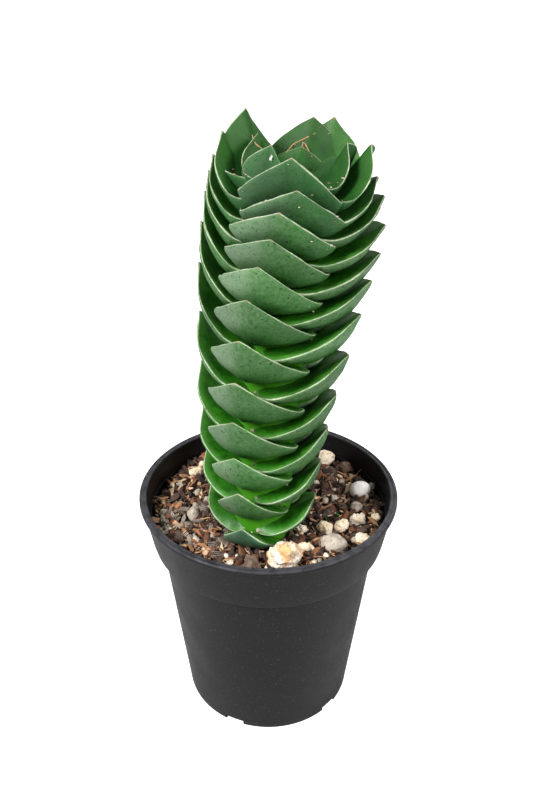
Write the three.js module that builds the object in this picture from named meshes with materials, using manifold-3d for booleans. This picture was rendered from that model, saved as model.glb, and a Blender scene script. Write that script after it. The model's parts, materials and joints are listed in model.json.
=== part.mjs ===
// A potted column succulent: a square, leaning stack of clasping leaves in a plastic nursery pot,
// with lumpy grit soil and loose stones. Millimetres, +Z up, origin at the centre of the pot's foot.

import * as THREE from 'three';
import { mergeVertices } from 'three/addons/utils/BufferGeometryUtils.js';
import Module from 'manifold-3d';

const wasm = await Module();
wasm.setup();

// Driving dimensions: the pot
const RIM_RADIUS = 40;
const POT_HEIGHT = 77.1;
const FOOT_RADIUS = 27.3;
const STEP_HEIGHT = 61;
const BODY_TOP_RADIUS = 34;
const BAND_BOTTOM_RADIUS = 36.4;
const BAND_TOP_RADIUS = 39;
const WALL = 1.2;
const BODY_FOOT_HEIGHT = 2.5;
const LIP_HEIGHT = 1.6;
const LIP_WIDTH = 2.3;
const FLOOR_UNDERSIDE = 2;
const FOOT_RING_WIDTH = 1.4;
const NOTCHES = 5;
const NOTCH_HEIGHT = 1.9;
const NOTCH_WIDTH = 6.2;
const NOTCH_CUT_LENGTH = 8;
const FIRST_NOTCH_DEGREES = -114;
const DRAIN_RADIUS = 3;
const DRAIN_RING_RADIUS = 17;
const DRAIN_CUT_LENGTH = 4.8;
const DRAIN_SIDES = 14;
const POT_SIDES = 50;

// Driving dimensions: soil and stones
const CLEARANCE = 0.35;
const JOIN_TOLERANCE = 0.02;
const SOIL_TOP = 68.6;
const SOIL_RINGS = 11;
const SOIL_SIDES = 44;
const GRAINS = 120;
const GRAIN_SPREAD = 36;
const GRAIN_RADIUS = 4.2;
const GRAIN_HEIGHT = 2.2;
const HOLE_CENTRE = [-2.2, -10.4];
const HOLE_FLOOR = 50;
const HOLE_SIDES = 28;
const HOLE_CLEARANCE = 0.8;

// Above the plain hole the soil opens in a dish under the lowest leaves: radius and height.
const DISH = [[11.6, 66.8], [15.5, 71.5], [19.5, 80]];
const DISH_START = 65.4;

// Driving dimensions: the leafy stem. Each list runs from the soil to the growing tip.
const AXIS_X = [-2.2, -1.4, 2, 5.7, 7];
const AXIS_Y = [-10.6, -6, -4.3, -3.9, -3.8];
const AXIS_Z = [71.4, 105.6, 141, 162.7, 174.5];
const FRONT_TURN_DEGREES = [20.6, 25, 21, 12, 13];
const LEAF_REACH = [15.7, 20.3, 24, 23, 16];
const LEAF_TIP_RISE = [6.2, 6.8, 7.6, 8.1, 8.7];
const CORNER_REACH = [8.2, 8.4, 8.8, 13, 15];
const CORNER_HALF_WIDTH = [8.4, 12.8, 13.5, 12.9, 11.5];
const CORNER_RISE = [-1.4, -2.6, -3.2, 0, 0.6];
const LEAF_BASE_DROP = [2.6, 7.4, 7.8, 7.4, 8];
const LEAF_THICKNESS = [2.6, 3, 3, 2.4, 1.6];
const MARGIN_THICKNESS = 0.9;
const OUTER_DEPTH = 0.9;
const CORE_RADIUS = [6.8, 7.6, 7.6, 6.4, 2.6];
const STEM_HOLE_RADIUS = CORE_RADIUS[0] + HOLE_CLEARANCE;
const CUP_CENTRE = [2.6, 3, 3, 2.4, 1.7];
const BASE_ARCH = 0.1;
const CUP_SIDE = 1.8;
const INNER_CUP = 1.2;
const INNER_RAISE = 0.9;
const CLASP_DEGREES = 78;
const ROOT_INSET = 1.2;

// The stem leans, so the leaves on its hollow side stand more upright than the others.
const HOLLOW_SIDE_LIFT = [-1.6, -0.9, 3.8, 2.8, 1.8];

// The last full-grown leaves close round the tip: lifts of the front, right, back and left ones.
const CROWN_LIFT = [3.5, 3, 6.5, 4.5];
const CROWN_START = 0.8;
const CROWN_FULL = 0.93;
const YOUNG_FROM = 0.98;
const YOUNG_SCALE = 0.75;
const YOUNG_LIFT = [0, -1, -4, -4];

// Leaves that stand out of their rank: step on the stem, quarter turns, then the turn or the lift.
const TURNED_LEAVES = [
  [20, 0, 9], [22, 0, 4], [24, 0, -26], [20, 2, -14], [24, 2, 8], [23, 1, 6], [23, 3, -22],
];
const LIFTED_LEAVES = [[20, 2, 9.5], [21, 1, -2.6]];

// Leaves at the sides are rolled. For each quarter turn: how far their left and right sides rise.
const SIDE_RISE = [[0, 0], [-1.4, 3.2], [0, 0], [0, -1.4]];
const PAIRS_PER_RANK = 12;
const LEAF_STEPS_ROUND = 8;
const LEAF_STEPS_OUT = 2;
const LEAF_STEP_CROWDING = 0.8;
const STEM_FOOT_Z = 52;
const STEM_FOOT_TAPER = 0.8;
const STEM_SIDES = 10;
const STEM_STEPS = 9;

const degrees = THREE.MathUtils.degToRad;
const mix = THREE.MathUtils.lerp;

// The same seed always gives the same soil and stones.
function seededRandom(seed) {
  let state = seed;
  return () => {
    state = (state * 1664525 + 1013904223) % 4294967296;
    return state / 4294967296;
  };
}

// A smooth value along the stem from its listed stations; t is 0 at the soil and 1 at the tip.
function along(stations, t) {
  const last = stations.length - 1;
  const place = THREE.MathUtils.clamp(t, 0, 1.08) * last;
  const i = Math.min(Math.floor(place), last - 1);
  const s = place - i;
  const before = stations[Math.max(i - 1, 0)];
  const after = stations[Math.min(i + 2, last)];
  const slopeIn = i > 0 ? (stations[i + 1] - before) / 2 : stations[1] - stations[0];
  const slopeOut = i + 2 <= last ? (after - stations[i]) / 2 : stations[last] - stations[last - 1];
  const s2 = s * s;
  const s3 = s2 * s;
  return (2 * s3 - 3 * s2 + 1) * stations[i] + (s3 - 2 * s2 + s) * slopeIn
    + (3 * s2 - 2 * s3) * stations[i + 1] + (s3 - s2) * slopeOut;
}

// Solids and meshes
function solidOf(geometry) {
  geometry.deleteAttribute('normal');
  geometry.deleteAttribute('uv');
  const welded = mergeVertices(geometry, 1e-4);
  const vertProperties = Float32Array.from(welded.attributes.position.array);
  const triVerts = Uint32Array.from(welded.index.array);
  return new wasm.Manifold(new wasm.Mesh({ numProp: 3, vertProperties, triVerts }));
}

function geometryOf(solid) {
  const mesh = solid.getMesh();
  const geometry = new THREE.BufferGeometry();
  geometry.setAttribute('position', new THREE.BufferAttribute(Float32Array.from(mesh.vertProperties), 3));
  geometry.setIndex(new THREE.BufferAttribute(Uint32Array.from(mesh.triVerts), 1));
  geometry.computeVertexNormals();
  return geometry;
}

// The largest body alone: loose scraps are dropped, and a hollow sealed by the joining is filled.
// Slivers thinner than the tolerance, left where two skins meet, close up.
function mainBody(solid) {
  const bodies = solid.setTolerance(JOIN_TOLERANCE).decompose();
  bodies.sort((a, b) => b.volume() - a.volume());
  return bodies[0];
}

function meshOf(name, solid, color, roughness) {
  const material = new THREE.MeshStandardMaterial({ color, roughness, metalness: 0 });
  const mesh = new THREE.Mesh(geometryOf(solid), material);
  mesh.name = name;
  return mesh;
}

// A closed skin through rings of points with equal counts, from the first ring to the last.
function loft(rings) {
  const sides = rings[0].length;
  const points = rings.flat();
  const index = [];
  for (let i = 0; i < rings.length - 1; i += 1) {
    for (let j = 0; j < sides; j += 1) {
      const a = i * sides + j;
      const b = i * sides + ((j + 1) % sides);
      index.push(a, b, b + sides, a, b + sides, a + sides);
    }
  }
  const centreOf = (ring) => ring.reduce((sum, p) => sum.add(p), new THREE.Vector3()).divideScalar(sides);
  const first = points.push(centreOf(rings[0])) - 1;
  const last = points.push(centreOf(rings[rings.length - 1])) - 1;
  const lastRing = (rings.length - 1) * sides;
  for (let j = 0; j < sides; j += 1) {
    const k = (j + 1) % sides;
    index.push(first, k, j, last, lastRing + j, lastRing + k);
  }
  const geometry = new THREE.BufferGeometry().setFromPoints(points);
  geometry.setIndex(index);
  return geometry;
}

// A turned solid from a profile of [radius, height] points, about +Z.
function turned(profile, sides) {
  const points = profile.map(([radius, height]) => new THREE.Vector2(radius, height));
  const geometry = new THREE.LatheGeometry(points, sides);
  geometry.rotateX(Math.PI / 2);
  return solidOf(geometry);
}

// Pot: a tapered body, a stepped band and a rolled lip, on a foot ring with notches.
const FLOOR_TOP = FLOOR_UNDERSIDE + WALL;
const INNER_STEP = STEP_HEIGHT + WALL;
const LIP_UNDER = POT_HEIGHT - LIP_HEIGHT;

function bodyRadius(z) {
  return mix(FOOT_RADIUS + 0.2, BODY_TOP_RADIUS, (z - BODY_FOOT_HEIGHT) / (STEP_HEIGHT - BODY_FOOT_HEIGHT));
}

function bandRadius(z) {
  return mix(BAND_BOTTOM_RADIUS, BAND_TOP_RADIUS, (z - STEP_HEIGHT) / (LIP_UNDER - STEP_HEIGHT));
}

function potInnerRadius(z) {
  return (z < INNER_STEP ? bodyRadius(z) : bandRadius(z)) - WALL;
}

function makePot() {
  const lipInner = RIM_RADIUS - LIP_WIDTH;
  const ringInner = FOOT_RADIUS - FOOT_RING_WIDTH;
  const outside = [
    [0, FLOOR_UNDERSIDE], [ringInner - 0.3, FLOOR_UNDERSIDE], [ringInner, 0], [FOOT_RADIUS - 0.5, 0],
    [FOOT_RADIUS, 0.5], [bodyRadius(BODY_FOOT_HEIGHT), BODY_FOOT_HEIGHT],
    [BODY_TOP_RADIUS, STEP_HEIGHT - 0.4],
    [BAND_BOTTOM_RADIUS - 0.3, STEP_HEIGHT], [BAND_BOTTOM_RADIUS, STEP_HEIGHT + 0.4],
    [BAND_TOP_RADIUS, LIP_UNDER - 0.1], [RIM_RADIUS - 0.3, LIP_UNDER + 0.1], [RIM_RADIUS, LIP_UNDER + 0.5],
    [RIM_RADIUS - 0.1, POT_HEIGHT - 0.4], [RIM_RADIUS - 0.6, POT_HEIGHT],
  ];
  const inside = [
    [lipInner + 0.5, POT_HEIGHT], [lipInner, POT_HEIGHT - 0.5], [potInnerRadius(LIP_UNDER), LIP_UNDER - 0.4],
    [potInnerRadius(INNER_STEP), INNER_STEP], [potInnerRadius(INNER_STEP - 0.1), INNER_STEP],
    [potInnerRadius(FLOOR_TOP + 1), FLOOR_TOP + 1], [potInnerRadius(FLOOR_TOP) - 1, FLOOR_TOP],
    [0, FLOOR_TOP],
  ];
  let pot = turned([...outside, ...inside], POT_SIDES);
  for (let i = 0; i < NOTCHES; i += 1) {
    const angle = degrees(FIRST_NOTCH_DEGREES + (i * 360) / NOTCHES);
    const notch = new THREE.BoxGeometry(NOTCH_CUT_LENGTH, NOTCH_WIDTH, 2 * NOTCH_HEIGHT);
    notch.translate(FOOT_RADIUS, 0, 0);
    notch.rotateZ(angle);
    const drain = new THREE.CylinderGeometry(DRAIN_RADIUS, DRAIN_RADIUS, DRAIN_CUT_LENGTH, DRAIN_SIDES);
    drain.rotateX(Math.PI / 2);
    drain.translate(DRAIN_RING_RADIUS, 0, FLOOR_UNDERSIDE + WALL / 2);
    drain.rotateZ(angle);
    pot = pot.subtract(solidOf(notch)).subtract(solidOf(drain));
  }
  return pot;
}

// Stones: name, place on the soil, height of the centre, half sizes, turn and how angular it is.
const STONES = [
  ['pebble_white_right', 29.6, 7.4, 70.6, [3.7, 3.1, 2.8], 20, 0.04],
  ['pebble_grey_small_right', 27.6, -1.2, 70.2, [1.9, 1.9, 1.7], 0, 0.05],
  ['stone_cream_block_right', 27.6, -6.6, 70.2, [2.3, 1.9, 1.9], 35, 0.2],
  ['stone_cream_left_of_block', 22.2, -10.6, 70.4, [2.2, 2.1, 2.2], 70, 0.2],
  ['stone_cream_middle_right', 17, -12.2, 70.4, [2.7, 2.2, 2.3], 15, 0.2],
  ['pebble_grey_large_right', 19.3, -20.2, 70.8, [4.2, 3.4, 3.2], -25, 0.07],
  ['stone_beige_by_rim', 28.4, -16.6, 69.9, [3, 2.3, 2], -30, 0.15],
  ['rock_orange_front', 4.6, -28, 72.7, [5.3, 4, 5.4], 10, 0.18],
  ['stone_tan_front_right', 10.8, -21.6, 70.2, [3, 2.4, 2.2], 40, 0.18],
  ['stone_brown_front', -5.4, -29.6, 70.8, [3.4, 2.9, 3.1], 80, 0.22],
  ['stone_cream_back_right', 19.8, 26, 70.6, [3.4, 2.6, 2.6], 30, 0.18],
  ['stone_brown_back_right', 25.6, 21.6, 70, [2.7, 2.2, 2], -10, 0.2],
  ['pebble_cream_back_left', -24, 18.6, 70, [2.9, 2, 1.9], 25, 0.08],
  ['stone_grey_left', -23.2, -4.6, 70.2, [2.4, 2.2, 2.2], 60, 0.2],
];
const STONE_DETAIL = 1;

// A lumpy rounded stone: waves of three sizes move the points of a ball in and out.
function stoneGeometry([, x, y, z, [a, b, c], turn, angular], swell) {
  const geometry = mergeVertices(new THREE.IcosahedronGeometry(1, STONE_DETAIL).deleteAttribute('normal')
    .deleteAttribute('uv'));
  const position = geometry.attributes.position;
  const point = new THREE.Vector3();
  const phase = x * 1.7 + y * 0.9;
  for (let i = 0; i < position.count; i += 1) {
    point.fromBufferAttribute(position, i);
    const wave = Math.sin(3.1 * point.x + phase) * Math.sin(2.7 * point.y + 2 * phase)
      + 0.6 * Math.sin(5.3 * point.z + 3 * phase) * Math.cos(4.1 * point.x - phase);
    point.multiplyScalar(1 + angular * wave);
    point.set(point.x * a, point.y * b, point.z * c);
    point.setLength(point.length() + swell);
    position.setXYZ(i, point.x, point.y, point.z);
  }
  geometry.rotateZ(degrees(turn));
  geometry.translate(x, y, z);
  return geometry;
}

// Soil: a plug that fills the pot, with grains that stand up from its top.
function soilGrains() {
  const random = seededRandom(77);
  const grains = [];
  for (let i = 0; i < GRAINS; i += 1) {
    const angle = 2 * Math.PI * random();
    const distance = GRAIN_SPREAD * Math.sqrt(random());
    const radius = GRAIN_RADIUS * (0.5 + random());
    const height = GRAIN_HEIGHT * (0.4 + 0.9 * random());
    grains.push([distance * Math.cos(angle), distance * Math.sin(angle), radius, height]);
  }
  return grains;
}

function soilHeight(grains, x, y) {
  let rise = 0;
  for (const [gx, gy, radius, height] of grains) {
    const reach = Math.hypot(x - gx, y - gy) / radius;
    rise = Math.max(rise, height * (1 - reach * reach));
  }
  return SOIL_TOP - 0.8 + rise + 0.4 * Math.sin(x * 0.13) - 0.4 * Math.cos(y * 0.11);
}

function makeSoil(stones) {
  const grains = soilGrains();
  const side = [
    [potInnerRadius(FLOOR_TOP) - 1 - CLEARANCE, FLOOR_TOP + CLEARANCE],
    [potInnerRadius(FLOOR_TOP + 1) - CLEARANCE, FLOOR_TOP + 1 + CLEARANCE],
    [potInnerRadius(INNER_STEP - 0.1) - CLEARANCE, INNER_STEP - 0.1],
    [potInnerRadius(INNER_STEP - 0.1) - CLEARANCE, INNER_STEP + CLEARANCE],
    [potInnerRadius(INNER_STEP) - CLEARANCE, INNER_STEP + CLEARANCE],
  ];
  const ringAt = (radius, heightAt) => {
    const ring = [];
    for (let j = 0; j < SOIL_SIDES; j += 1) {
      const angle = (2 * Math.PI * j) / SOIL_SIDES;
      const x = radius * Math.cos(angle);
      const y = radius * Math.sin(angle);
      ring.push(new THREE.Vector3(x, y, heightAt(x, y)));
    }
    return ring;
  };
  const rings = side.map(([radius, height]) => ringAt(radius, () => height));
  const outer = potInnerRadius(SOIL_TOP - 2) - CLEARANCE;
  for (let i = SOIL_RINGS; i > 0; i -= 1) {
    rings.push(ringAt((outer * i) / SOIL_RINGS, (x, y) => soilHeight(grains, x, y)));
  }
  let soil = solidOf(loft(rings));
  const hole = turned([
    [0, HOLE_FLOOR], [STEM_HOLE_RADIUS, HOLE_FLOOR], [STEM_HOLE_RADIUS + 0.6, DISH_START], ...DISH,
    [0, DISH[DISH.length - 1][1]],
  ], HOLE_SIDES);
  soil = soil.subtract(hole.translate([...HOLE_CENTRE, 0]));
  for (const stone of stones) {
    soil = soil.subtract(solidOf(stoneGeometry(stone, CLEARANCE)));
  }
  return mainBody(soil);
}

// Leafy stem: opposite pairs of clasping leaves, each pair a quarter turn from the last.
function axisPoint(t) {
  return new THREE.Vector3(along(AXIS_X, t), along(AXIS_Y, t), along(AXIS_Z, t));
}

// Outward, sideways and upward directions of a leaf on the leaning stem.
function leafFrame(t, quarterTurns, turn) {
  const step = 0.01;
  const up = axisPoint(t + step).sub(axisPoint(t - step)).normalize();
  const azimuth = degrees(-90 - along(FRONT_TURN_DEGREES, t) + 90 * quarterTurns + turn);
  const out = new THREE.Vector3(Math.cos(azimuth), Math.sin(azimuth), 0);
  out.addScaledVector(up, -out.dot(up)).normalize();
  const side = new THREE.Vector3().crossVectors(up, out);
  return { origin: axisPoint(t), out, side, up };
}

// The margin from the tip round the corner to the heel, in the leaf's own out, side, up lengths.
function marginCurve(t, lift) {
  const size = t > YOUNG_FROM ? YOUNG_SCALE : 1;
  const reach = along(LEAF_REACH, t) * size;
  const rise = along(LEAF_TIP_RISE, t) + lift;
  const cornerOut = along(CORNER_REACH, t) * size;
  const cornerSide = along(CORNER_HALF_WIDTH, t) * size;
  const cornerRise = along(CORNER_RISE, t) + lift / 2;
  const core = along(CORE_RADIUS, t);
  const drop = along(LEAF_BASE_DROP, t);
  return new THREE.CatmullRomCurve3([
    new THREE.Vector3(reach, 0, rise),
    new THREE.Vector3(mix(reach, cornerOut, 0.5) + 2.2, cornerSide * 0.64, mix(rise, cornerRise, 0.52)),
    new THREE.Vector3(cornerOut, cornerSide, cornerRise),
    new THREE.Vector3(cornerOut * 0.42, cornerSide * 0.97, cornerRise - 1.5),
    new THREE.Vector3(0.8, core + 1, -drop * 0.8),
  ], false, 'centripetal');
}

// A point of a leaf face; u runs round the margin from -1 to 1, v from root to margin.
// The outer face is cupped; the inner one starts higher on the stem and is flatter.
function leafSheet(margin, t, u, v, inner) {
  const edge = margin.getPoint(Math.abs(u));
  const core = along(CORE_RADIUS, t) - ROOT_INSET;
  const angle = degrees(CLASP_DEGREES) * u;
  const raise = inner ? along(LEAF_THICKNESS, t) * INNER_RAISE : 0;
  const drop = raise - along(LEAF_BASE_DROP, t) * (1 - BASE_ARCH * Math.sin(Math.PI * Math.abs(u)));
  const cup = inner ? INNER_CUP : mix(along(CUP_CENTRE, t), CUP_SIDE, Math.abs(u));
  const plan = Math.pow(v, 0.9);
  return new THREE.Vector3(
    mix(core * Math.cos(angle), edge.x, plan),
    mix(core * Math.sin(angle), Math.sign(u) * edge.y, plan),
    mix(drop, edge.z, Math.pow(v, cup)),
  );
}

// A point of the leaf's skin: a little off its face, with the roll of its rank.
function skinPoint(margin, t, u, v, inner, sideRise) {
  const small = 0.02;
  const at = (uu, vv) => leafSheet(margin, t, uu, vv, inner);
  const alongU = at(Math.min(u + small, 1), v).sub(at(Math.max(u - small, -1), v));
  const alongV = at(u, Math.min(v + small, 1)).sub(at(u, Math.max(v - small, 0)));
  const normal = alongV.cross(alongU).normalize();
  const upward = normal.z < 0 ? -1 : 1;
  const half = MARGIN_THICKNESS / 2;
  const depth = inner ? half : -mix(OUTER_DEPTH, half, Math.pow(v, 6));
  const point = at(u, v).addScaledVector(normal, upward * depth);
  point.z += sideRise[u < 0 ? 0 : 1] * Math.sin(Math.PI * Math.abs(u)) * v * v;
  return point;
}

// The value listed for one leaf, or 0 if it isn't listed.
function listed(list, step, quarterTurns) {
  const found = list.find(([s, q]) => s === step && q === quarterTurns);
  return found ? found[2] : 0;
}

function leafLift(t, step, quarterTurns) {
  const hollowSide = quarterTurns === 3 ? along(HOLLOW_SIDE_LIFT, t) : 0;
  const own = hollowSide + listed(LIFTED_LEAVES, step, quarterTurns);
  if (t > YOUNG_FROM) {
    return own + YOUNG_LIFT[quarterTurns];
  }
  return own + CROWN_LIFT[quarterTurns] * THREE.MathUtils.smoothstep(t, CROWN_START, CROWN_FULL);
}

function makeLeaf(step, quarterTurns) {
  const t = step / (2 * PAIRS_PER_RANK);
  const { origin, out, side, up } = leafFrame(t, quarterTurns, listed(TURNED_LEAVES, step, quarterTurns));
  const margin = marginCurve(t, leafLift(t, step, quarterTurns));
  const sideRise = SIDE_RISE[quarterTurns];
  const below = [];
  const above = [];
  for (let i = 0; i <= LEAF_STEPS_ROUND; i += 1) {
    const u = -1 + (2 * i) / LEAF_STEPS_ROUND;
    for (let j = 0; j <= LEAF_STEPS_OUT; j += 1) {
      const v = Math.pow(j / LEAF_STEPS_OUT, LEAF_STEP_CROWDING);
      below.push(skinPoint(margin, t, u, v, false, sideRise));
      above.push(skinPoint(margin, t, u, v, true, sideRise));
    }
  }
  const toStem = (p) => origin.clone().addScaledVector(out, p.x).addScaledVector(side, p.y)
    .addScaledVector(up, p.z);
  const points = [...below, ...above].map(toStem);
  const rows = LEAF_STEPS_OUT + 1;
  const sheet = below.length;
  const index = [];
  const quad = (a, b, c, d) => index.push(a, b, c, a, c, d);
  for (let i = 0; i < LEAF_STEPS_ROUND; i += 1) {
    for (let j = 0; j < LEAF_STEPS_OUT; j += 1) {
      const a = i * rows + j;
      quad(a, a + rows, a + rows + 1, a + 1);
      quad(sheet + a, sheet + a + 1, sheet + a + rows + 1, sheet + a + rows);
    }
    const root = i * rows;
    const rim = root + LEAF_STEPS_OUT;
    quad(root, sheet + root, sheet + root + rows, root + rows);
    quad(rim, rim + rows, sheet + rim + rows, sheet + rim);
  }
  const lastRow = LEAF_STEPS_ROUND * rows;
  for (let j = 0; j < LEAF_STEPS_OUT; j += 1) {
    quad(j, j + 1, sheet + j + 1, sheet + j);
    quad(lastRow + j, sheet + lastRow + j, sheet + lastRow + j + 1, lastRow + j + 1);
  }
  const geometry = new THREE.BufferGeometry().setFromPoints(points);
  geometry.setIndex(index);
  return solidOf(geometry);
}

function makeStemCore() {
  const rings = [];
  for (let i = 0; i <= STEM_STEPS; i += 1) {
    const t = (1.02 * (i - 1)) / (STEM_STEPS - 1);
    const centre = axisPoint(Math.max(t, 0));
    if (i === 0) {
      centre.z = STEM_FOOT_Z;
    }
    const radius = along(CORE_RADIUS, t) * (i === 0 ? STEM_FOOT_TAPER : 1);
    const ring = [];
    for (let j = 0; j < STEM_SIDES; j += 1) {
      const angle = (2 * Math.PI * j) / STEM_SIDES;
      const offset = new THREE.Vector3(radius * Math.cos(angle), radius * Math.sin(angle), 0);
      ring.push(centre.clone().add(offset));
    }
    rings.push(ring);
  }
  return solidOf(loft(rings));
}

function makeLeafyStem() {
  const pieces = [makeStemCore()];
  for (let step = 0; step <= 2 * PAIRS_PER_RANK + 1; step += 1) {
    pieces.push(makeLeaf(step, step % 2), makeLeaf(step, (step % 2) + 2));
  }
  return mainBody(wasm.Manifold.union(pieces));
}

// Assembly
const plant = new THREE.Group();
plant.add(meshOf('pot', makePot(), 0x1d1e22, 0.55));
plant.add(meshOf('soil', makeSoil(STONES), 0x4a352a, 0.95));
plant.add(meshOf('leafy_stem', makeLeafyStem(), 0x3f7f45, 0.4));
for (const stone of STONES) {
  const color = stone[0].includes('grey') || stone[0].includes('brown') ? 0x8a8378 : 0xd9cbb0;
  plant.add(meshOf(stone[0], mainBody(solidOf(stoneGeometry(stone, 0))), color, 0.8));
}

export default plant;
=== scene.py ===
# %% [markdown]
# # A potted column succulent
# This lesson dresses a small potted plant: a square, leaning column of clasping leaves in a black
# nursery pot, with gritty soil and loose stones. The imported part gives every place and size, so
# the first step loads it and keeps its box. Whatever is made later has to stay inside that box.

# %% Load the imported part
import json
import math
import random

import bmesh
import bpy
from mathutils import Matrix, Vector, noise
from mathutils.bvhtree import BVHTree

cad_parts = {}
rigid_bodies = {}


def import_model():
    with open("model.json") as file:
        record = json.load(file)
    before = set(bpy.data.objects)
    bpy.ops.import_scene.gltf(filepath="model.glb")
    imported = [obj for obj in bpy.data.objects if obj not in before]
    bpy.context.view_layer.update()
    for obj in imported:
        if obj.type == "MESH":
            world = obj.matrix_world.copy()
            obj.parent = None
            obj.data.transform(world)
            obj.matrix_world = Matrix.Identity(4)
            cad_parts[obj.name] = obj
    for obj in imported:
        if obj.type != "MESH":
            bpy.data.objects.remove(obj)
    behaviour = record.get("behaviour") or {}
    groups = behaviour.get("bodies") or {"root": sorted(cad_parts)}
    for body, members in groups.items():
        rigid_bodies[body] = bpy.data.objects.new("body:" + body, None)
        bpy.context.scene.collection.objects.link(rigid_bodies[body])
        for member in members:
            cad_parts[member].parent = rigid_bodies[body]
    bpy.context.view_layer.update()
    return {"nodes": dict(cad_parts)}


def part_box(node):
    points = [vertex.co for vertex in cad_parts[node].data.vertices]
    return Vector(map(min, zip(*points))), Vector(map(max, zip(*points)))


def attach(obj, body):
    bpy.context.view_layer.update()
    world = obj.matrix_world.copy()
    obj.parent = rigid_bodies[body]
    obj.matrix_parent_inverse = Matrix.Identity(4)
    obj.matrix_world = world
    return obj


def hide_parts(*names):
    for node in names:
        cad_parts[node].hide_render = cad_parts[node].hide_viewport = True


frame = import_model()
MM = 0.001
print("nodes in the packed part:", len(frame["nodes"]))

# %% [markdown]
# ## The camera
# The photograph looks down on the plant from close by: the rim of the pot is a wide ellipse and
# the pot tapers strongly. A camera with a fixed lens and tilt gives that view. The same numbers
# turn a place in the picture into a ray, which later sets small stones where they are seen.

# %% Camera
PHOTO_WIDTH = 533
PHOTO_HEIGHT = 800
FOCAL_LENGTH_PIXELS = 830.3
SENSOR_MM = 36.0
CAMERA_PLACE = Vector((-0.00058, -0.212, 0.2275))
CAMERA_LOOKS_DOWN = 29.38

camera = bpy.data.objects.new("camera", bpy.data.cameras.new("camera"))
camera.data.sensor_width = SENSOR_MM
camera.data.lens = SENSOR_MM * FOCAL_LENGTH_PIXELS / PHOTO_HEIGHT
camera.data.clip_start = 0.01
camera.location = CAMERA_PLACE
camera.rotation_euler = (math.radians(90 - CAMERA_LOOKS_DOWN), 0, 0)
bpy.context.scene.collection.objects.link(camera)
bpy.context.scene.camera = camera
print("lens in millimetres:", round(camera.data.lens, 2))


def view_ray(pixel_x, pixel_y):
    """The direction from the camera through a place in the picture."""
    across = (pixel_x - PHOTO_WIDTH / 2) / FOCAL_LENGTH_PIXELS
    up = (PHOTO_HEIGHT / 2 - pixel_y) / FOCAL_LENGTH_PIXELS
    direction = Vector((across, up, -1))
    direction.rotate(camera.rotation_euler)
    return direction.normalized()


# %% [markdown]
# ## Small helpers
# Node trees are easier to read when a node, its settings and its links are one call. The same
# helper serves shaders and geometry, because both kinds of tree are built from sockets.

# %% Node helpers
def connect(tree, socket, value):
    """Gives an input a value, or a socket to link from."""
    if isinstance(value, bpy.types.NodeSocket):
        tree.links.new(value, socket)
    else:
        socket.default_value = value


def add_node(tree, kind, inputs=None, **settings):
    """One node. The settings come first, because some of them decide which sockets there are."""
    made = tree.nodes.new(kind)
    for name, value in settings.items():
        setattr(made, name, value)
    for name, value in (inputs or {}).items():
        connect(tree, made.inputs[name], value)
    return made


def output(tree, kind, inputs=None, **settings):
    """The first output of a new node."""
    return add_node(tree, kind, inputs, **settings).outputs[0]


def calculate(tree, operation, *values):
    """The result of a Math node."""
    return output(tree, "ShaderNodeMath", dict(enumerate(values)), operation=operation)


def times(tree, first, second):
    """The product of two numbers."""
    return calculate(tree, "MULTIPLY", first, second)


def plus(tree, first, second):
    """The sum of two numbers."""
    return calculate(tree, "ADD", first, second)


def vector_of(tree, x=0.0, y=0.0, z=0.0):
    """Three numbers as one vector."""
    return output(tree, "ShaderNodeCombineXYZ", {0: x, 1: y, 2: z})


def parts_of(tree, vector):
    """The three numbers of a vector."""
    return add_node(tree, "ShaderNodeSeparateXYZ", {0: vector}).outputs


def smooth_step(tree, value, low, high, to_low=0.0, to_high=1.0):
    """A smooth change from to_low at low to to_high at high."""
    inputs = {"Value": value, "From Min": low, "From Max": high, "To Min": to_low, "To Max": to_high}
    return output(tree, "ShaderNodeMapRange", inputs, interpolation_type="SMOOTHSTEP")


def blend(tree, share, first, second, kind="MIX"):
    """Two colours mixed by a share from 0 to 1. The colour sockets of a Mix node are 6 and 7."""
    inputs = {0: share, 6: first, 7: second}
    return add_node(tree, "ShaderNodeMix", inputs, data_type="RGBA", blend_type=kind).outputs[2]


def colour(red, green, blue):
    """A colour as a paint chart gives it, 0 to 255, in the linear light that shaders use."""
    def linear(level):
        share = level / 255
        return share / 12.92 if share <= 0.04045 else ((share + 0.055) / 1.055) ** 2.4
    return (linear(red), linear(green), linear(blue), 1.0)


print("node helpers ready")


# %% Object helpers
def link_object(name, mesh):
    """An object at the origin, linked to the scene."""
    made = bpy.data.objects.new(name, mesh)
    bpy.context.scene.collection.objects.link(made)
    return made


def set_modifier_input(modifier, name, value):
    """A tree's input is set by its identifier, for which the name only stands."""
    for socket in modifier.node_group.interface.items_tree:
        if socket.item_type == "SOCKET" and socket.in_out == "INPUT" and socket.name == name:
            modifier[socket.identifier] = value
            return
    raise KeyError(name)


def grow(piece, tree, inputs):
    """Runs a geometry tree on a piece and keeps the result as a plain mesh."""
    modifier = piece.modifiers.new(tree.name, "NODES")
    modifier.node_group = tree
    for name, value in inputs.items():
        set_modifier_input(modifier, name, value)
    evaluated = piece.evaluated_get(bpy.context.evaluated_depsgraph_get())
    mesh = bpy.data.meshes.new_from_object(evaluated)
    piece.modifiers.clear()
    piece.data = mesh
    return piece


def store(mesh, name, values):
    """Keeps one number for each point of a mesh under a name."""
    mesh.attributes.new(name, "FLOAT", "POINT").data.foreach_set("value", values)


def store_vectors(mesh, name, vectors):
    """Keeps one vector for each point of a mesh under a name."""
    flat = [x for vector in vectors for x in vector]
    mesh.attributes.new(name, "FLOAT_VECTOR", "POINT").data.foreach_set("vector", flat)


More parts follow.
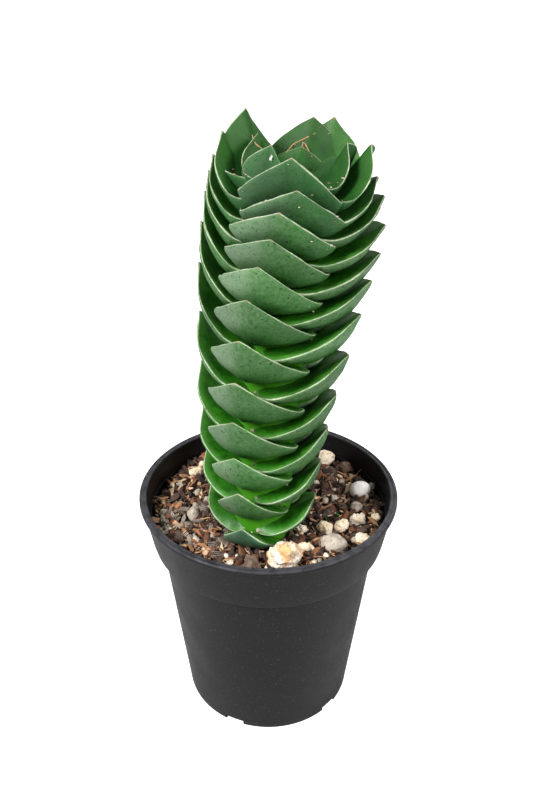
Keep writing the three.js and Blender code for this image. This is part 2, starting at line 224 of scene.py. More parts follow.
def face_outwards(mesh):
    """Turns all faces of a closed mesh to point out."""
    shape = bmesh.new()
    shape.from_mesh(mesh)
    bmesh.ops.recalc_face_normals(shape, faces=shape.faces)
    shape.to_mesh(mesh)
    shape.free()


SOFT_CREASE = 60
ROUND_CREASE = 80


def shade_smooth(mesh, crease_degrees):
    """Smooth faces, with a crease only where two faces meet at a sharp angle."""
    mesh.polygons.foreach_set("use_smooth", [True] * len(mesh.polygons))
    mesh.set_sharp_from_angle(angle=math.radians(crease_degrees))


def finish_piece(piece, slot_name, *stands_for):
    """Every finished piece rides on the one body and hides the parts it stands for; the slot name is not
    used.
    """
    if stands_for:
        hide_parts(*stands_for)
    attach(piece, "root")
    triangles = sum(len(face.vertices) - 2 for face in piece.data.polygons)
    print(piece.name, "has", triangles, "triangles")


print("object helpers ready")


# %% Geometry tree helpers
def geometry_tree(name, inputs):
    """A new geometry tree with named inputs, its input sockets and its output node."""
    tree = bpy.data.node_groups.new(name, "GeometryNodeTree")
    tree.is_modifier = True
    tree.interface.new_socket("Geometry", in_out="INPUT", socket_type="NodeSocketGeometry")
    tree.interface.new_socket("Geometry", in_out="OUTPUT", socket_type="NodeSocketGeometry")
    for label, kind in inputs.items():
        tree.interface.new_socket(label, in_out="INPUT", socket_type="NodeSocket" + kind)
    return tree, tree.nodes.new("NodeGroupInput").outputs


def end_tree(tree, geometry, material):
    """Real geometry and a material come last, because an export drops instances."""
    real = add_node(tree, "GeometryNodeRealizeInstances", {"Geometry": geometry})
    painted = add_node(tree, "GeometryNodeSetMaterial", {"Geometry": real.outputs[0], "Material": material})
    tree.links.new(painted.outputs[0], tree.nodes.new("NodeGroupOutput").inputs[0])


def named(tree, name, kind="FLOAT"):
    """The value that the mesh carries under a name."""
    return output(tree, "GeometryNodeInputNamedAttribute", {"Name": name}, data_type=kind)


def vector_sum(tree, parts):
    """The sum of several vectors, each times its own number."""
    total = None
    for vector, factor in parts:
        inputs = {0: vector, "Scale": factor}
        scaled = output(tree, "ShaderNodeVectorMath", inputs, operation="SCALE")
        if total is None:
            total = scaled
        else:
            total = output(tree, "ShaderNodeVectorMath", {0: total, 1: scaled}, operation="ADD")
    return total


print("geometry tree helpers ready")

# %% [markdown]
# ## Effects that several finishes share
# Leaves, plastic and stones all carry small specks and soft blotches. Each effect is one shader
# group with named inputs, placed in every material with its own scale and colours. A group gives
# out only a mask or a colour, and the shader itself stays in the material.

# %% Shared shader groups
def shader_group(name, inputs, outputs):
    """A new shader group, with its input and output sockets."""
    tree = bpy.data.node_groups.new(name, "ShaderNodeTree")
    for label, kind in inputs.items():
        tree.interface.new_socket(label, in_out="INPUT", socket_type="NodeSocket" + kind)
    for label, kind in outputs.items():
        tree.interface.new_socket(label, in_out="OUTPUT", socket_type="NodeSocket" + kind)
    return tree, tree.nodes.new("NodeGroupInput").outputs, tree.nodes.new("NodeGroupOutput").inputs


def make_specks():
    """Small spots: the peaks of a fine noise."""
    inputs = {"Vector": "Vector", "Scale": "Float", "Threshold": "Float", "Softness": "Float"}
    tree, given, result = shader_group("specks", inputs, {"Mask": "Float"})
    noise_inputs = {"Vector": given["Vector"], "Scale": given["Scale"], "Detail": 1.5, "Roughness": 0.6}
    grain = add_node(tree, "ShaderNodeTexNoise", noise_inputs)
    top = plus(tree, given["Threshold"], given["Softness"])
    tree.links.new(smooth_step(tree, grain.outputs[0], given["Threshold"], top), result["Mask"])
    return tree


def make_blotches():
    """Two colours in soft patches, with the patch value for other uses."""
    inputs = {"Vector": "Vector", "Scale": "Float", "Contrast": "Float", "First": "Color", "Second": "Color"}
    tree, given, result = shader_group("blotches", inputs, {"Color": "Color", "Patch": "Float"})
    noise_inputs = {"Vector": given["Vector"], "Scale": given["Scale"], "Detail": 5.0,
                    "Roughness": 0.62, "Distortion": 0.4}
    cloud = add_node(tree, "ShaderNodeTexNoise", noise_inputs)
    low = calculate(tree, "SUBTRACT", 0.5, given["Contrast"])
    high = plus(tree, 0.5, given["Contrast"])
    patch = smooth_step(tree, cloud.outputs[0], low, high)
    tree.links.new(blend(tree, patch, given["First"], given["Second"]), result["Color"])
    tree.links.new(patch, result["Patch"])
    return tree


SPECKS = make_specks()
BLOTCHES = make_blotches()
print("shader groups:", SPECKS.name, BLOTCHES.name)


# %% Placing a shared effect in a material
def new_material(name, roughness=0.6):
    """A material: its tree, its shader and the object coordinates."""
    material = bpy.data.materials.new(name)
    material.use_nodes = True
    tree = material.node_tree
    shader = tree.nodes["Principled BSDF"]
    shader.inputs["Roughness"].default_value = roughness
    place = tree.nodes.new("ShaderNodeTexCoord").outputs["Object"]
    return material, tree, shader, place


def specks(tree, place, scale, threshold, softness=0.05):
    """The mask of small spots, so many to the metre."""
    inputs = {"Vector": place, "Scale": scale, "Threshold": threshold, "Softness": softness}
    return add_node(tree, "ShaderNodeGroup", inputs, node_tree=SPECKS).outputs["Mask"]


def blotches(tree, place, scale, first, second, contrast=0.15):
    """Soft patches of two colours: the colour and the patch value."""
    inputs = {"Vector": place, "Scale": scale, "Contrast": contrast, "First": first, "Second": second}
    made = add_node(tree, "ShaderNodeGroup", inputs, node_tree=BLOTCHES)
    return made.outputs["Color"], made.outputs["Patch"]


def carried(tree, name):
    """A number that the mesh carries for each point."""
    return add_node(tree, "ShaderNodeAttribute", attribute_name=name).outputs["Fac"]


def bump(tree, height, strength, depth, under=None):
    """A fine relief as a normal; depth is in metres."""
    inputs = {"Height": height, "Strength": strength, "Distance": depth}
    if under is not None:
        inputs["Normal"] = under
    return output(tree, "ShaderNodeBump", inputs)


def noise_height(tree, place, scale, detail=4.0):
    """A fractal noise to raise or dull a surface with."""
    inputs = {"Vector": place, "Scale": scale, "Detail": detail, "Roughness": 0.6}
    return output(tree, "ShaderNodeTexNoise", inputs)


print("materials can use the shared groups")

# %% [markdown]
# ## The leaf finish
# The underside of a leaf, which faces outwards, has a pale bloom over mid green, mottled and
# peppered with dark pits. The upper face is a deep, glossy green. A thin cream line follows the
# margin and turns pinkish brown at the tip. Where the finish depends on the place on the leaf,
# it reads numbers that the mesh carries, so nothing slides when the view changes.

# %% Colours and scales of a leaf
OUTER_BLOOM = colour(98, 126, 92)
# The colour of the painted highlight on the left half of a leaf's underside.
OUTER_PAINTED_HIGHLIGHT = colour(126, 146, 120)
OUTER_GREEN = colour(38, 98, 24)
OUTER_YOUNG = colour(38, 86, 44)
OUTER_OLDEST = colour(58, 98, 82)
INNER_GREEN = colour(48, 120, 20)
INNER_DEEP = colour(20, 72, 8)
INNER_YOUNG = colour(20, 62, 18)
# The colour of the painted highlight along the margin of the upper face.
INNER_PAINTED_HIGHLIGHT = colour(96, 152, 72)
LEAF_PIT = colour(26, 56, 22)
LEAF_MARGIN = colour(196, 200, 176)
TIP_BROWN = colour(150, 104, 80)
STEM_GREEN = colour(62, 132, 22)
VEIL_DARK = (0.42, 0.44, 0.42, 1)
VEIL_LIGHT = (0.58, 0.58, 0.56, 1)
BLOOM_SCALE, VEIL_SCALE, INNER_SCALE = 900.0, 160.0, 260.0
LARGE_PIT_SCALE, SMALL_PIT_SCALE = 1100.0, 2300.0
LINE_FROM, LINE_FULL = 0.26, 0.08
TIP_FROM, TIP_FULL = 0.9, 0.3
YOUNG_FINISH_FROM, YOUNG_FINISH_FULL = 0.65, 0.95
BUD_FROM, BUD_FULL = 0.16, 0.172
print("the cream line is", LINE_FROM, "mm wide")


# %% Both faces of a leaf
def make_pits(tree, place):
    """Dark pits of two sizes, as a mask."""
    large = specks(tree, place, LARGE_PIT_SCALE, 0.64, 0.05)
    small = times(tree, specks(tree, place, SMALL_PIT_SCALE, 0.6, 0.07), 0.6)
    return calculate(tree, "MAXIMUM", large, small)


def make_outer_skin(tree, place, around, outward, pits):
    """Grey-green waxy coat, mottled, with pits and a faint keel line; painted light makes the left half
    paler, the right half greener as in shade, and the part near the stem a greener glow of light through the
    leaf.
    """
    bloom, patch = blotches(tree, place, BLOOM_SCALE, OUTER_BLOOM, OUTER_GREEN, 0.3)
    veil, _ = blotches(tree, place, VEIL_SCALE, VEIL_DARK, VEIL_LIGHT, 0.2)
    skin = blend(tree, 0.8, bloom, veil, "OVERLAY")
    keel = smooth_step(tree, calculate(tree, "ABSOLUTE", around), 0.02, 0.0, 0.0, 0.25)
    skin = blend(tree, keel, skin, OUTER_BLOOM)
    # Painted highlight: the left half of the underside is paler, as if lit from the left, more on some ranks
    # of leaves.
    painted_lit_side = times(tree, smooth_step(tree, around, 0.0, -0.12, 0.0, 0.45), carried(tree, "bloom"))
    skin = blend(tree, painted_lit_side, skin, OUTER_PAINTED_HIGHLIGHT)
    # Painted shade: the right half of the underside is a little greener and darker.
    skin = blend(tree, smooth_step(tree, around, 0.0, 0.15, 0.0, 0.3), skin, OUTER_GREEN)
    # Painted glow of light through the leaf: the underside turns greener towards the stem.
    skin = blend(tree, smooth_step(tree, outward, 0.92, 0.6, 0.0, 0.55), skin, OUTER_GREEN)
    return blend(tree, times(tree, pits, 0.9), skin, LEAF_PIT), patch


def make_inner_skin(tree, place, outward):
    """Deep glossy green, with painted shade that darkens it towards the stem and a painted highlight that
    makes it paler along the margin.
    """
    skin, _ = blotches(tree, place, INNER_SCALE, INNER_GREEN, INNER_DEEP, 0.25)
    # Painted shade: darker towards the stem, where the axils lie in shade.
    painted_axil_shade = smooth_step(tree, outward, 0.8, 0.2, 0.0, 0.5)
    skin = blend(tree, painted_axil_shade, skin, INNER_DEEP)
    # Painted highlight: paler along the margin, where the glossy face catches the light.
    return blend(tree, smooth_step(tree, outward, 0.78, 0.98, 0.0, 0.4), skin, INNER_PAINTED_HIGHLIGHT)


def make_margin_line(tree, place, around):
    """The cream line along the margin, broken here and there and gone at the heels."""
    line = smooth_step(tree, carried(tree, "from_edge"), LINE_FROM, LINE_FULL)
    broken = smooth_step(tree, noise_height(tree, place, BLOOM_SCALE), 0.3, 0.6, 0.35, 0.85)
    at_heel = smooth_step(tree, calculate(tree, "ABSOLUTE", around), 0.94, 0.78)
    return times(tree, times(tree, line, broken), at_heel)


print("leaf faces ready")


# %% Leaf material
def make_leaf_material():
    """One finish for leaves and stem; young and old leaves differ, and each has its own tone."""
    material, tree, shader, place = new_material("leaf")
    face, around, outward, age, tone, from_tip = [
        carried(tree, name) for name in ("face", "around", "outward", "age", "tone", "from_tip")]
    pits = make_pits(tree, place)
    outer, patch = make_outer_skin(tree, place, around, outward, pits)
    young = smooth_step(tree, age, YOUNG_FINISH_FROM, YOUNG_FINISH_FULL, 0.0, 0.7)
    outer = blend(tree, young, outer, OUTER_YOUNG)
    outer = blend(tree, smooth_step(tree, age, 0.06, 0.01, 0.0, 0.6), outer, OUTER_OLDEST)
    inner = blend(tree, young, make_inner_skin(tree, place, outward), INNER_YOUNG)
    inner = blend(tree, times(tree, pits, 0.5), inner, LEAF_PIT)
    is_inner = smooth_step(tree, face, -0.1, 0.3)
    skin = blend(tree, is_inner, outer, inner)
    shade = smooth_step(tree, tone, 0.0, 1.0, 0.85, 1.12)
    skin = blend(tree, 1.0, skin, vector_of(tree, shade, shade, shade), "MULTIPLY")
    is_stem = smooth_step(tree, calculate(tree, "ABSOLUTE", face), 0.06, 0.03)
    in_bud = smooth_step(tree, parts_of(tree, place)[2], BUD_FROM, BUD_FULL)
    skin = blend(tree, is_stem, skin, blend(tree, in_bud, STEM_GREEN, INNER_YOUNG))
    not_stem = calculate(tree, "SUBTRACT", 1.0, is_stem)
    skin = blend(tree, times(tree, make_margin_line(tree, place, around), not_stem), skin, LEAF_MARGIN)
    tip = smooth_step(tree, from_tip, TIP_FROM, TIP_FULL, 0.0, 0.6)
    skin = blend(tree, times(tree, tip, not_stem), skin, TIP_BROWN)
    tree.links.new(skin, shader.inputs["Base Color"])
    dull = plus(tree, smooth_step(tree, is_inner, 0.0, 1.0, 0.44, 0.34), times(tree, young, 0.3))
    tree.links.new(plus(tree, dull, times(tree, patch, 0.08)), shader.inputs["Roughness"])
    relief = bump(tree, noise_height(tree, place, 500.0, 3.0), 0.25, 0.4 * MM)
    tree.links.new(bump(tree, pits, -0.25, 0.2 * MM, relief), shader.inputs["Normal"])
    shader.inputs["Specular IOR Level"].default_value = 0.26
    shader.inputs["Subsurface Weight"].default_value = 0.1
    shader.inputs["Subsurface Radius"].default_value = (0.6, 1.0, 0.25)
    shader.inputs["Subsurface Scale"].default_value = 1.5 * MM
    return material


LEAF = make_leaf_material()
print("leaf finish made")

# %% [markdown]
# ## The rule that grows the column
# The plant sets its leaves in opposite pairs, each pair a quarter turn from the last, so four
# ranks of leaves climb a leaning stem. Sizes change slowly from the soil to the tip. They are
# listed at five stations and read in between with a smooth curve. The lists are in millimetres.

# %% Growth stations, from the soil to the growing tip
AXIS_X = [-2.2, -1.4, 2, 5.7, 7]
AXIS_Y = [-10.6, -6, -4.3, -3.9, -3.8]
AXIS_Z = [71.4, 105.6, 141, 162.7, 174.5]
FRONT_TURN = [20.6, 25, 21, 12, 13]
LEAF_REACH = [15.7, 20.3, 24, 23, 16]
TIP_RISE = [6.2, 6.8, 7.6, 8.1, 8.7]
CORNER_REACH = [8.2, 8.4, 8.8, 13, 15]
CORNER_HALF_WIDTH = [8.4, 12.8, 13.5, 12.9, 11.5]
CORNER_RISE = [-1.4, -2.6, -3.2, 0, 0.6]
BASE_DROP = [2.6, 7.4, 7.8, 7.4, 8]
THICKNESS = [2.6, 3, 3, 2.4, 1.6]
CORE_RADIUS = [6.8, 7.6, 7.6, 6.4, 2.6]
STEM_RADIUS = [8.6, 9.6, 9.2, 6.4, 2.6]
CUP_CENTRE = [2.6, 3, 3, 2.4, 1.7]
CUP_SIDE = 1.8
OUTER_DEPTH = 0.9
EDGE_DEPTH = 0.2
INNER_CUP = 1.2
INNER_RAISE = 0.9
STATIONS = len(AXIS_Z)


def along(stations, t):
    """A smooth value along the stem; t is 0 at the soil and 1 at the tip."""
    last = len(stations) - 1
    place = min(max(t, 0), 1.08) * last
    i = min(int(place), last - 1)
    s = place - i
    slope_in = (stations[i + 1] - stations[max(i - 1, 0)]) / 2 if i > 0 else stations[1] - stations[0]
    slope_out = (stations[i + 2] - stations[i]) / 2 if i + 2 <= last else stations[last] - stations[last - 1]
    s2, s3 = s * s, s * s * s
    start, end = (2 * s3 - 3 * s2 + 1) * stations[i], (3 * s2 - 2 * s3) * stations[i + 1]
    return start + (s3 - 2 * s2 + s) * slope_in + end + (s3 - s2) * slope_out


def axis_point(t):
    """The middle of the stem, in millimetres."""
    return Vector((along(AXIS_X, t), along(AXIS_Y, t), along(AXIS_Z, t)))


print("height of the growing tip:", round(axis_point(1).z, 1), "mm")

# %% [markdown]
# ## One leaf as a blank
# A leaf is a cupped sheet that grows from the stem to a pointed margin. The blank is a closed skin
# round that sheet: the outer face, a rounded edge and the inner face. It is made once for each
# station and the five shapes are kept on one mesh as named vectors, so that any leaf in between
# is a mix of them.

# %% Margin and sheet of a leaf
SHOULDER_OUT, SHOULDER_SIDE, SHOULDER_FALL = 2.2, 0.64, 0.52
NECK_OUT, NECK_SIDE, NECK_DROP = 0.42, 0.97, 1.5
HEEL_OUT, HEEL_DROP = 0.8, 0.8
CLASP_DEGREES = 78
ROOT_INSET = 1.2
BASE_ARCH = 0.1
PLAN_POWER = 0.9


def centripetal(points, share):
    """A smooth curve through a few points, with no loops where they lie close together."""
    place = share * (len(points) - 1)
    i = min(int(place), len(points) - 2)
    s = place - i
    p1, p2 = points[i], points[i + 1]
    p0 = points[i - 1] if i > 0 else 2 * p1 - p2
    p3 = points[i + 2] if i + 2 < len(points) else 2 * p2 - p1
    d0, d1, d2 = (math.sqrt((b - a).length) for a, b in ((p0, p1), (p1, p2), (p2, p3)))
    slope_1 = ((p1 - p0) / d0 - (p2 - p0) / (d0 + d1) + (p2 - p1) / d1) * d1
    slope_2 = ((p2 - p1) / d1 - (p3 - p1) / (d1 + d2) + (p3 - p2) / d2) * d1
    bend = -3 * p1 + 3 * p2 - 2 * slope_1 - slope_2
    twist = 2 * p1 - 2 * p2 + slope_1 + slope_2
    return p1 + slope_1 * s + bend * s * s + twist * s * s * s


def margin_of(t):
    """The margin from the tip round the corner to the heel: out, sideways and up."""
    reach, rise = along(LEAF_REACH, t), along(TIP_RISE, t)
    corner_out, corner_side = along(CORNER_REACH, t), along(CORNER_HALF_WIDTH, t)
    corner_rise = along(CORNER_RISE, t)
    shoulder = Vector(((reach + corner_out) / 2 + SHOULDER_OUT, corner_side * SHOULDER_SIDE,
                       rise + (corner_rise - rise) * SHOULDER_FALL))
    neck = Vector((corner_out * NECK_OUT, corner_side * NECK_SIDE, corner_rise - NECK_DROP))
    heel = Vector((HEEL_OUT, along(CORE_RADIUS, t) + 1, -along(BASE_DROP, t) * HEEL_DROP))
    return [Vector((reach, 0, rise)), shoulder, Vector((corner_out, corner_side, corner_rise)), neck, heel]


def sheet_point(t, margin, u, v, inner=False):
    """A leaf's sheet: u runs round the margin from -1 to 1, v from root to margin."""
    edge = centripetal(margin, abs(u))
    core = along(CORE_RADIUS, t) - ROOT_INSET
    angle = math.radians(CLASP_DEGREES) * u
    drop = -along(BASE_DROP, t) * (1 - BASE_ARCH * math.sin(math.pi * abs(u)))
    cup = along(CUP_CENTRE, t) + (CUP_SIDE - along(CUP_CENTRE, t)) * abs(u)
    if inner:
        drop += along(THICKNESS, t) * INNER_RAISE
        cup = INNER_CUP
    root = Vector((core * math.cos(angle), core * math.sin(angle), drop))
    rim = Vector((edge.x, math.copysign(edge.y, u), edge.z))
    made = root.lerp(rim, v ** PLAN_POWER)
    made.z = root.z + (rim.z - root.z) * v ** cup
    return made


print("margin points of a middle leaf:", len(margin_of(0.5)))


# %% Skin of a leaf
STEPS_ROUND = 40
STEPS_OUT = 13
SMALL_STEP = 0.02
ROLL_POWER = 6


def leaf_profile():
    """Out along the outer face to the margin, and back along the inner face; rows crowd at the margin."""
    rows = [math.sin(math.pi / 2 * j / STEPS_OUT) for j in range(STEPS_OUT + 1)]
    return [(v, -1.0) for v in rows] + [(1.0, 0.0)] + [(v, 1.0) for v in reversed(rows)]


def leaf_skin(t):
    """The places of the blank's points for one station. Both faces roll over at the margin."""
    margin, places = margin_of(t), []

    def sheet(u, v, inner):
        return sheet_point(t, margin, min(max(u, -1), 1), min(max(v, 0), 1), inner)

    for i in range(STEPS_ROUND + 1):
        u = -1 + 2 * i / STEPS_ROUND
        for v, side in leaf_profile():
            inner = side > 0
            across = sheet(u + SMALL_STEP, v, inner) - sheet(u - SMALL_STEP, v, inner)
            outwards = sheet(u, v + SMALL_STEP, inner) - sheet(u, v - SMALL_STEP, inner)
            normal = outwards.cross(across).normalized()
            if normal.z < 0:
                normal.negate()
            roll = math.sqrt(max(1 - v ** ROLL_POWER, 0))
            depth = EDGE_DEPTH + (OUTER_DEPTH - EDGE_DEPTH) * roll if side < 0 else EDGE_DEPTH * (1 + roll)
            beyond = outwards.normalized() * EDGE_DEPTH if side == 0 else normal * depth * side
            places.append(sheet(u, v, inner) + beyond)
    return places


def edge_distances(places, count):
    """For each point, how far it lies from the margin along its own profile."""
    middle, distances = STEPS_OUT + 1, []
    for start in range(0, len(places), count):
        column = places[start:start + count]
        steps = [(b - a).length for a, b in zip(column, column[1:])]
        distances += [sum(steps[min(j, middle):max(j, middle)]) for j in range(count)]
    return distances


def lift_share(u, v):
    """How much of the leaf's lift a point takes: all at the tip, half at the corners, none at the heels."""
    corner = 1 - 0.5 * min(abs(u) * 2, 1)
    heel = 1 if abs(u) < 0.8 else 5 - 5 * abs(u)
    return corner * heel * v ** 2


def roll_share(u, v):
    """How much of its side's rise a point takes: most at the corner, none at the tip and the heel."""
    return math.sin(math.pi * max(u, 0)) * v ** 2


def make_blank():
    """The closed mesh of a leaf, with its station shapes and its surface numbers."""
    profile = leaf_profile()
    count = len(profile)
    faces = []
    for i in range(STEPS_ROUND):
        for j in range(count):
            a, b = i * count + j, i * count + (j + 1) % count
            faces.append((a, b, b + count, a + count))
    faces.append(tuple(reversed(range(count))))
    faces.append(tuple(range(STEPS_ROUND * count, (STEPS_ROUND + 1) * count)))
    shapes = [leaf_skin(k / (STATIONS - 1)) for k in range(STATIONS)]
    mesh = bpy.data.meshes.new("leaf_blank")
    mesh.from_pydata([place * MM for place in shapes[2]], [], faces)
    for k, shape in enumerate(shapes):
        store_vectors(mesh, f"shape_{k}", [place * MM for place in shape])
    rows = [(-1 + 2 * i / STEPS_ROUND, v, side) for i in range(STEPS_ROUND + 1) for v, side in profile]
    tip = shapes[2][STEPS_ROUND // 2 * count + STEPS_OUT + 1]
    numbers = {"around": [u for u, _, _ in rows], "outward": [v for _, v, _ in rows],
               "face": [side if side else 0.1 for _, _, side in rows],
               "lift_share": [lift_share(u, v) for u, v, _ in rows],
               "left_share": [roll_share(-u, v) for u, v, _ in rows],
               "right_share": [roll_share(u, v) for u, v, _ in rows],
               "from_edge": edge_distances(shapes[2], count),
               "from_tip": [(place - tip).length for place in shapes[2]]}
    for name, values in numbers.items():
        store(mesh, name, values)
    return mesh


BLANK = link_object("leaf_blank", make_blank())
print("leaf blank:", len(BLANK.data.vertices), "points")

# %% [markdown]
# ## Where each leaf stands
# One point stands for one leaf. It carries the leaf's three directions, its mix of the station
# shapes, its lift and its tone. Leaves near the tip close over the bud, so they are lifted more.

# %% Leaf points
PAIRS_PER_RANK = 12
LAST_STEP = 2 * PAIRS_PER_RANK + 1
HOLLOW_SIDE_LIFT = [-1.6, -0.9, 3.8, 2.8, 1.8]
CROWN_LIFT = [3.5, 3, 6.5, 4.5]
CROWN_START, CROWN_FULL = 0.8, 0.93
SIDE_RISE = [(0, 0), (-1.4, 3.2), (0, 0), (0, -1.4)]
# How much of the painted highlight on the left half of the underside each rank of leaves takes.
PAINTED_LIT_SIDE_SHARE = [1, 0.1, 0.4, 0.4]
YOUNG_FROM = 0.98
YOUNG_SIZE = 0.75
YOUNG_LIFT = [0, -1, -4, -4]
TURNED_LEAVES = {(20, 0): 9, (22, 0): 4, (24, 0): -26, (20, 2): -14, (24, 2): 8, (23, 1): 6, (23, 3): -22}
LIFTED_LEAVES = {(20, 2): 9.5, (21, 1): -2.6}


def leaf_directions(t, quarter, turn):
    """Outward, sideways and upward directions of a leaf on the leaning stem."""
    up = (axis_point(t + 0.01) - axis_point(t - 0.01)).normalized()
    azimuth = math.radians(-90 - along(FRONT_TURN, t) + 90 * quarter + turn)
    out = Vector((math.cos(azimuth), math.sin(azimuth), 0))
    out = (out - up * out.dot(up)).normalized()
    return out, up.cross(out), up


def leaf_lift(t, step, quarter):
    """How much the tip of a leaf is raised, in millimetres."""
    own = LIFTED_LEAVES.get((step, quarter), 0)
    own += along(HOLLOW_SIDE_LIFT, t) if quarter == 3 else 0
    if t > YOUNG_FROM:
        return own + YOUNG_LIFT[quarter]
    share = min(max((t - CROWN_START) / (CROWN_FULL - CROWN_START), 0), 1)
    return own + CROWN_LIFT[quarter] * share * share * (3 - 2 * share)


def station_shares(t):
    """How much of each station shape a leaf takes."""
    return [along([1.0 if k == j else 0.0 for j in range(STATIONS)], t) for k in range(STATIONS)]


def make_leaf_points():
    """A point for each leaf, pair by pair up the stem."""
    draw = random.Random(12)
    rows = []
    for step in range(LAST_STEP + 1):
        for quarter in (step % 2, step % 2 + 2):
            t = step / (2 * PAIRS_PER_RANK)
            out, side, up = leaf_directions(t, quarter, TURNED_LEAVES.get((step, quarter), 0))
            rows.append({"origin": axis_point(t) * MM, "out": out, "side": side, "up": up,
                         "shares": station_shares(t), "lift": leaf_lift(t, step, quarter) * MM,
                         "left_rise": SIDE_RISE[quarter][0] * MM, "right_rise": SIDE_RISE[quarter][1] * MM,
                         "size": YOUNG_SIZE if t > YOUNG_FROM else 1.0, "tone": draw.random(), "age": t,
                         "bloom": PAINTED_LIT_SIDE_SHARE[quarter]})
    mesh = bpy.data.meshes.new("leaf_points")
    mesh.from_pydata([row["origin"] for row in rows], [], [])
    for name in ("origin", "out", "side", "up"):
        store_vectors(mesh, name, [row[name] for row in rows])
    for name in ("lift", "left_rise", "right_rise", "size", "tone", "age", "bloom"):
        store(mesh, name, [row[name] for row in rows])
    for k in range(STATIONS):
        store(mesh, f"share_{k}", [row["shares"][k] for row in rows])
    return mesh


STEM_FOOT_HEIGHT = 52
STEM_STEPS = 20


def make_stem_line():
    """The stem's middle line, with its radius, from below the soil to the bud."""
    buried = axis_point(0)
    buried.z = STEM_FOOT_HEIGHT
    steps = [i / STEM_STEPS for i in range(STEM_STEPS + 1)]
    places = [buried * MM] + [axis_point(t) * MM for t in steps]
    mesh = bpy.data.meshes.new("stem_line")
    mesh.from_pydata(places, [(i, i + 1) for i in range(len(steps))], [])
    radii = [CORE_RADIUS[0] * 0.8 * MM] + [along(STEM_RADIUS, t) * MM for t in steps]
    store(mesh, "thick", radii)
    return mesh


LEAF_POINTS = link_object("leafy_stem_fine", make_leaf_points())
STEM_LINE = link_object("stem_line", make_stem_line())
print("leaves:", len(LEAF_POINTS.data.vertices))

# %% [markdown]
# ## The tree that grows the leaves
# The tree puts a blank on every point and moves each of its points to where the mix of station
# shapes says, turned into the leaf's own directions. A soft noise then dents the skin, because no
# living leaf is exact. The stem is a round profile along its line.

# %% Leaf column tree
def named_vector(tree, name):
    """The vector that the mesh carries under a name."""
    return named(tree, name, "FLOAT_VECTOR")


def product_of(tree, first, second):
    """The product of two numbers that the mesh carries."""
    return times(tree, named(tree, first), named(tree, second))


def leaf_place(tree):
    """Where a point of a leaf goes: its mix of the station shapes, in the leaf's own directions."""
    parts = parts_of(tree, vector_sum(tree, [
        (named_vector(tree, f"shape_{k}"), named(tree, f"share_{k}")) for k in range(STATIONS)]))
    smaller = calculate(tree, "SUBTRACT", named(tree, "size"), 1.0)
    shrink = plus(tree, 1.0, times(tree, named(tree, "outward"), smaller))
    rolled = plus(tree, product_of(tree, "left_rise", "left_share"),
                  product_of(tree, "right_rise", "right_share"))
    lifted = plus(tree, product_of(tree, "lift", "lift_share"), rolled)
    return vector_sum(tree, [(named_vector(tree, "origin"), 1.0),
                             (named_vector(tree, "out"), times(tree, parts[0], shrink)),
                             (named_vector(tree, "side"), times(tree, parts[1], shrink)),
                             (named_vector(tree, "up"), plus(tree, parts[2], lifted))])


def dented(tree, geometry, per_metre, deepest):
    """A skin moved in and out by a soft noise."""
    spot = output(tree, "GeometryNodeInputPosition")
    cloud = output(tree, "ShaderNodeTexNoise", {"Vector": spot, "Scale": per_metre, "Detail": 3.0})
    depth = times(tree, calculate(tree, "SUBTRACT", cloud, 0.5), deepest)
    dent = vector_sum(tree, [(output(tree, "GeometryNodeInputNormal"), depth)])
    return output(tree, "GeometryNodeSetPosition", {"Geometry": geometry, "Offset": dent})


def geometry_of(tree, thing):
    """The mesh of another object."""
    return add_node(tree, "GeometryNodeObjectInfo", {"Object": thing}).outputs["Geometry"]


def make_column_tree():
    """Leaves on their points, dented, and joined to the stem."""
    sizes = {"Leaf": "Object", "Stem line": "Object", "Stem sides": "Int", "Dent depth": "Float",
             "Dents per metre": "Float", "Material": "Material"}
    tree, given = geometry_tree("leaf column", sizes)
    placed = output(tree, "GeometryNodeInstanceOnPoints",
                    {"Points": given["Geometry"], "Instance": geometry_of(tree, given["Leaf"])})
    leaves = output(tree, "GeometryNodeRealizeInstances", {"Geometry": placed})
    shaped = output(tree, "GeometryNodeSetPosition", {"Geometry": leaves, "Position": leaf_place(tree)})
    curve = output(tree, "GeometryNodeMeshToCurve", {"Mesh": geometry_of(tree, given["Stem line"])})
    circle = output(tree, "GeometryNodeCurvePrimitiveCircle",
                    {"Resolution": given["Stem sides"], "Radius": 1.0})
    stem = output(tree, "GeometryNodeCurveToMesh", {
        "Curve": curve, "Profile Curve": circle, "Scale": named(tree, "thick"), "Fill Caps": True})
    joined = tree.nodes.new("GeometryNodeJoinGeometry")
    for part in (dented(tree, shaped, given["Dents per metre"], given["Dent depth"]), stem):
        tree.links.new(part, joined.inputs[0])
    end_tree(tree, joined.outputs[0], given["Material"])
    return tree


leafy_stem = grow(LEAF_POINTS, make_column_tree(), {
    "Leaf": BLANK, "Stem line": STEM_LINE, "Stem sides": 28, "Dent depth": 1.1 * MM,
    "Dents per metre": 170.0, "Material": LEAF})
for helper in (BLANK, STEM_LINE):
    bpy.data.objects.remove(helper)
face_outwards(leafy_stem.data)
shade_smooth(leafy_stem.data, SOFT_CREASE)
finish_piece(leafy_stem, "leaf", "leafy_stem")

# %% [markdown]
# ## The pot's plastic
# Thin black moulded plastic is satin, not flat black: it carries a fine grey dust, small scuffs
# and a lighter grey lip top, which is a painted highlight broken into patches. All of it comes from noise in
# object coordinates.

# %% Pot material
PLASTIC_BLACK = colour(18, 17, 18)
PLASTIC_WORN = colour(26, 25, 27)
# The colour of the painted highlight on the top of the lip.
LIP_HIGHLIGHT = colour(62, 62, 67)
DUST_GREY = colour(96, 93, 90)
POT_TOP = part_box("pot")[1].z


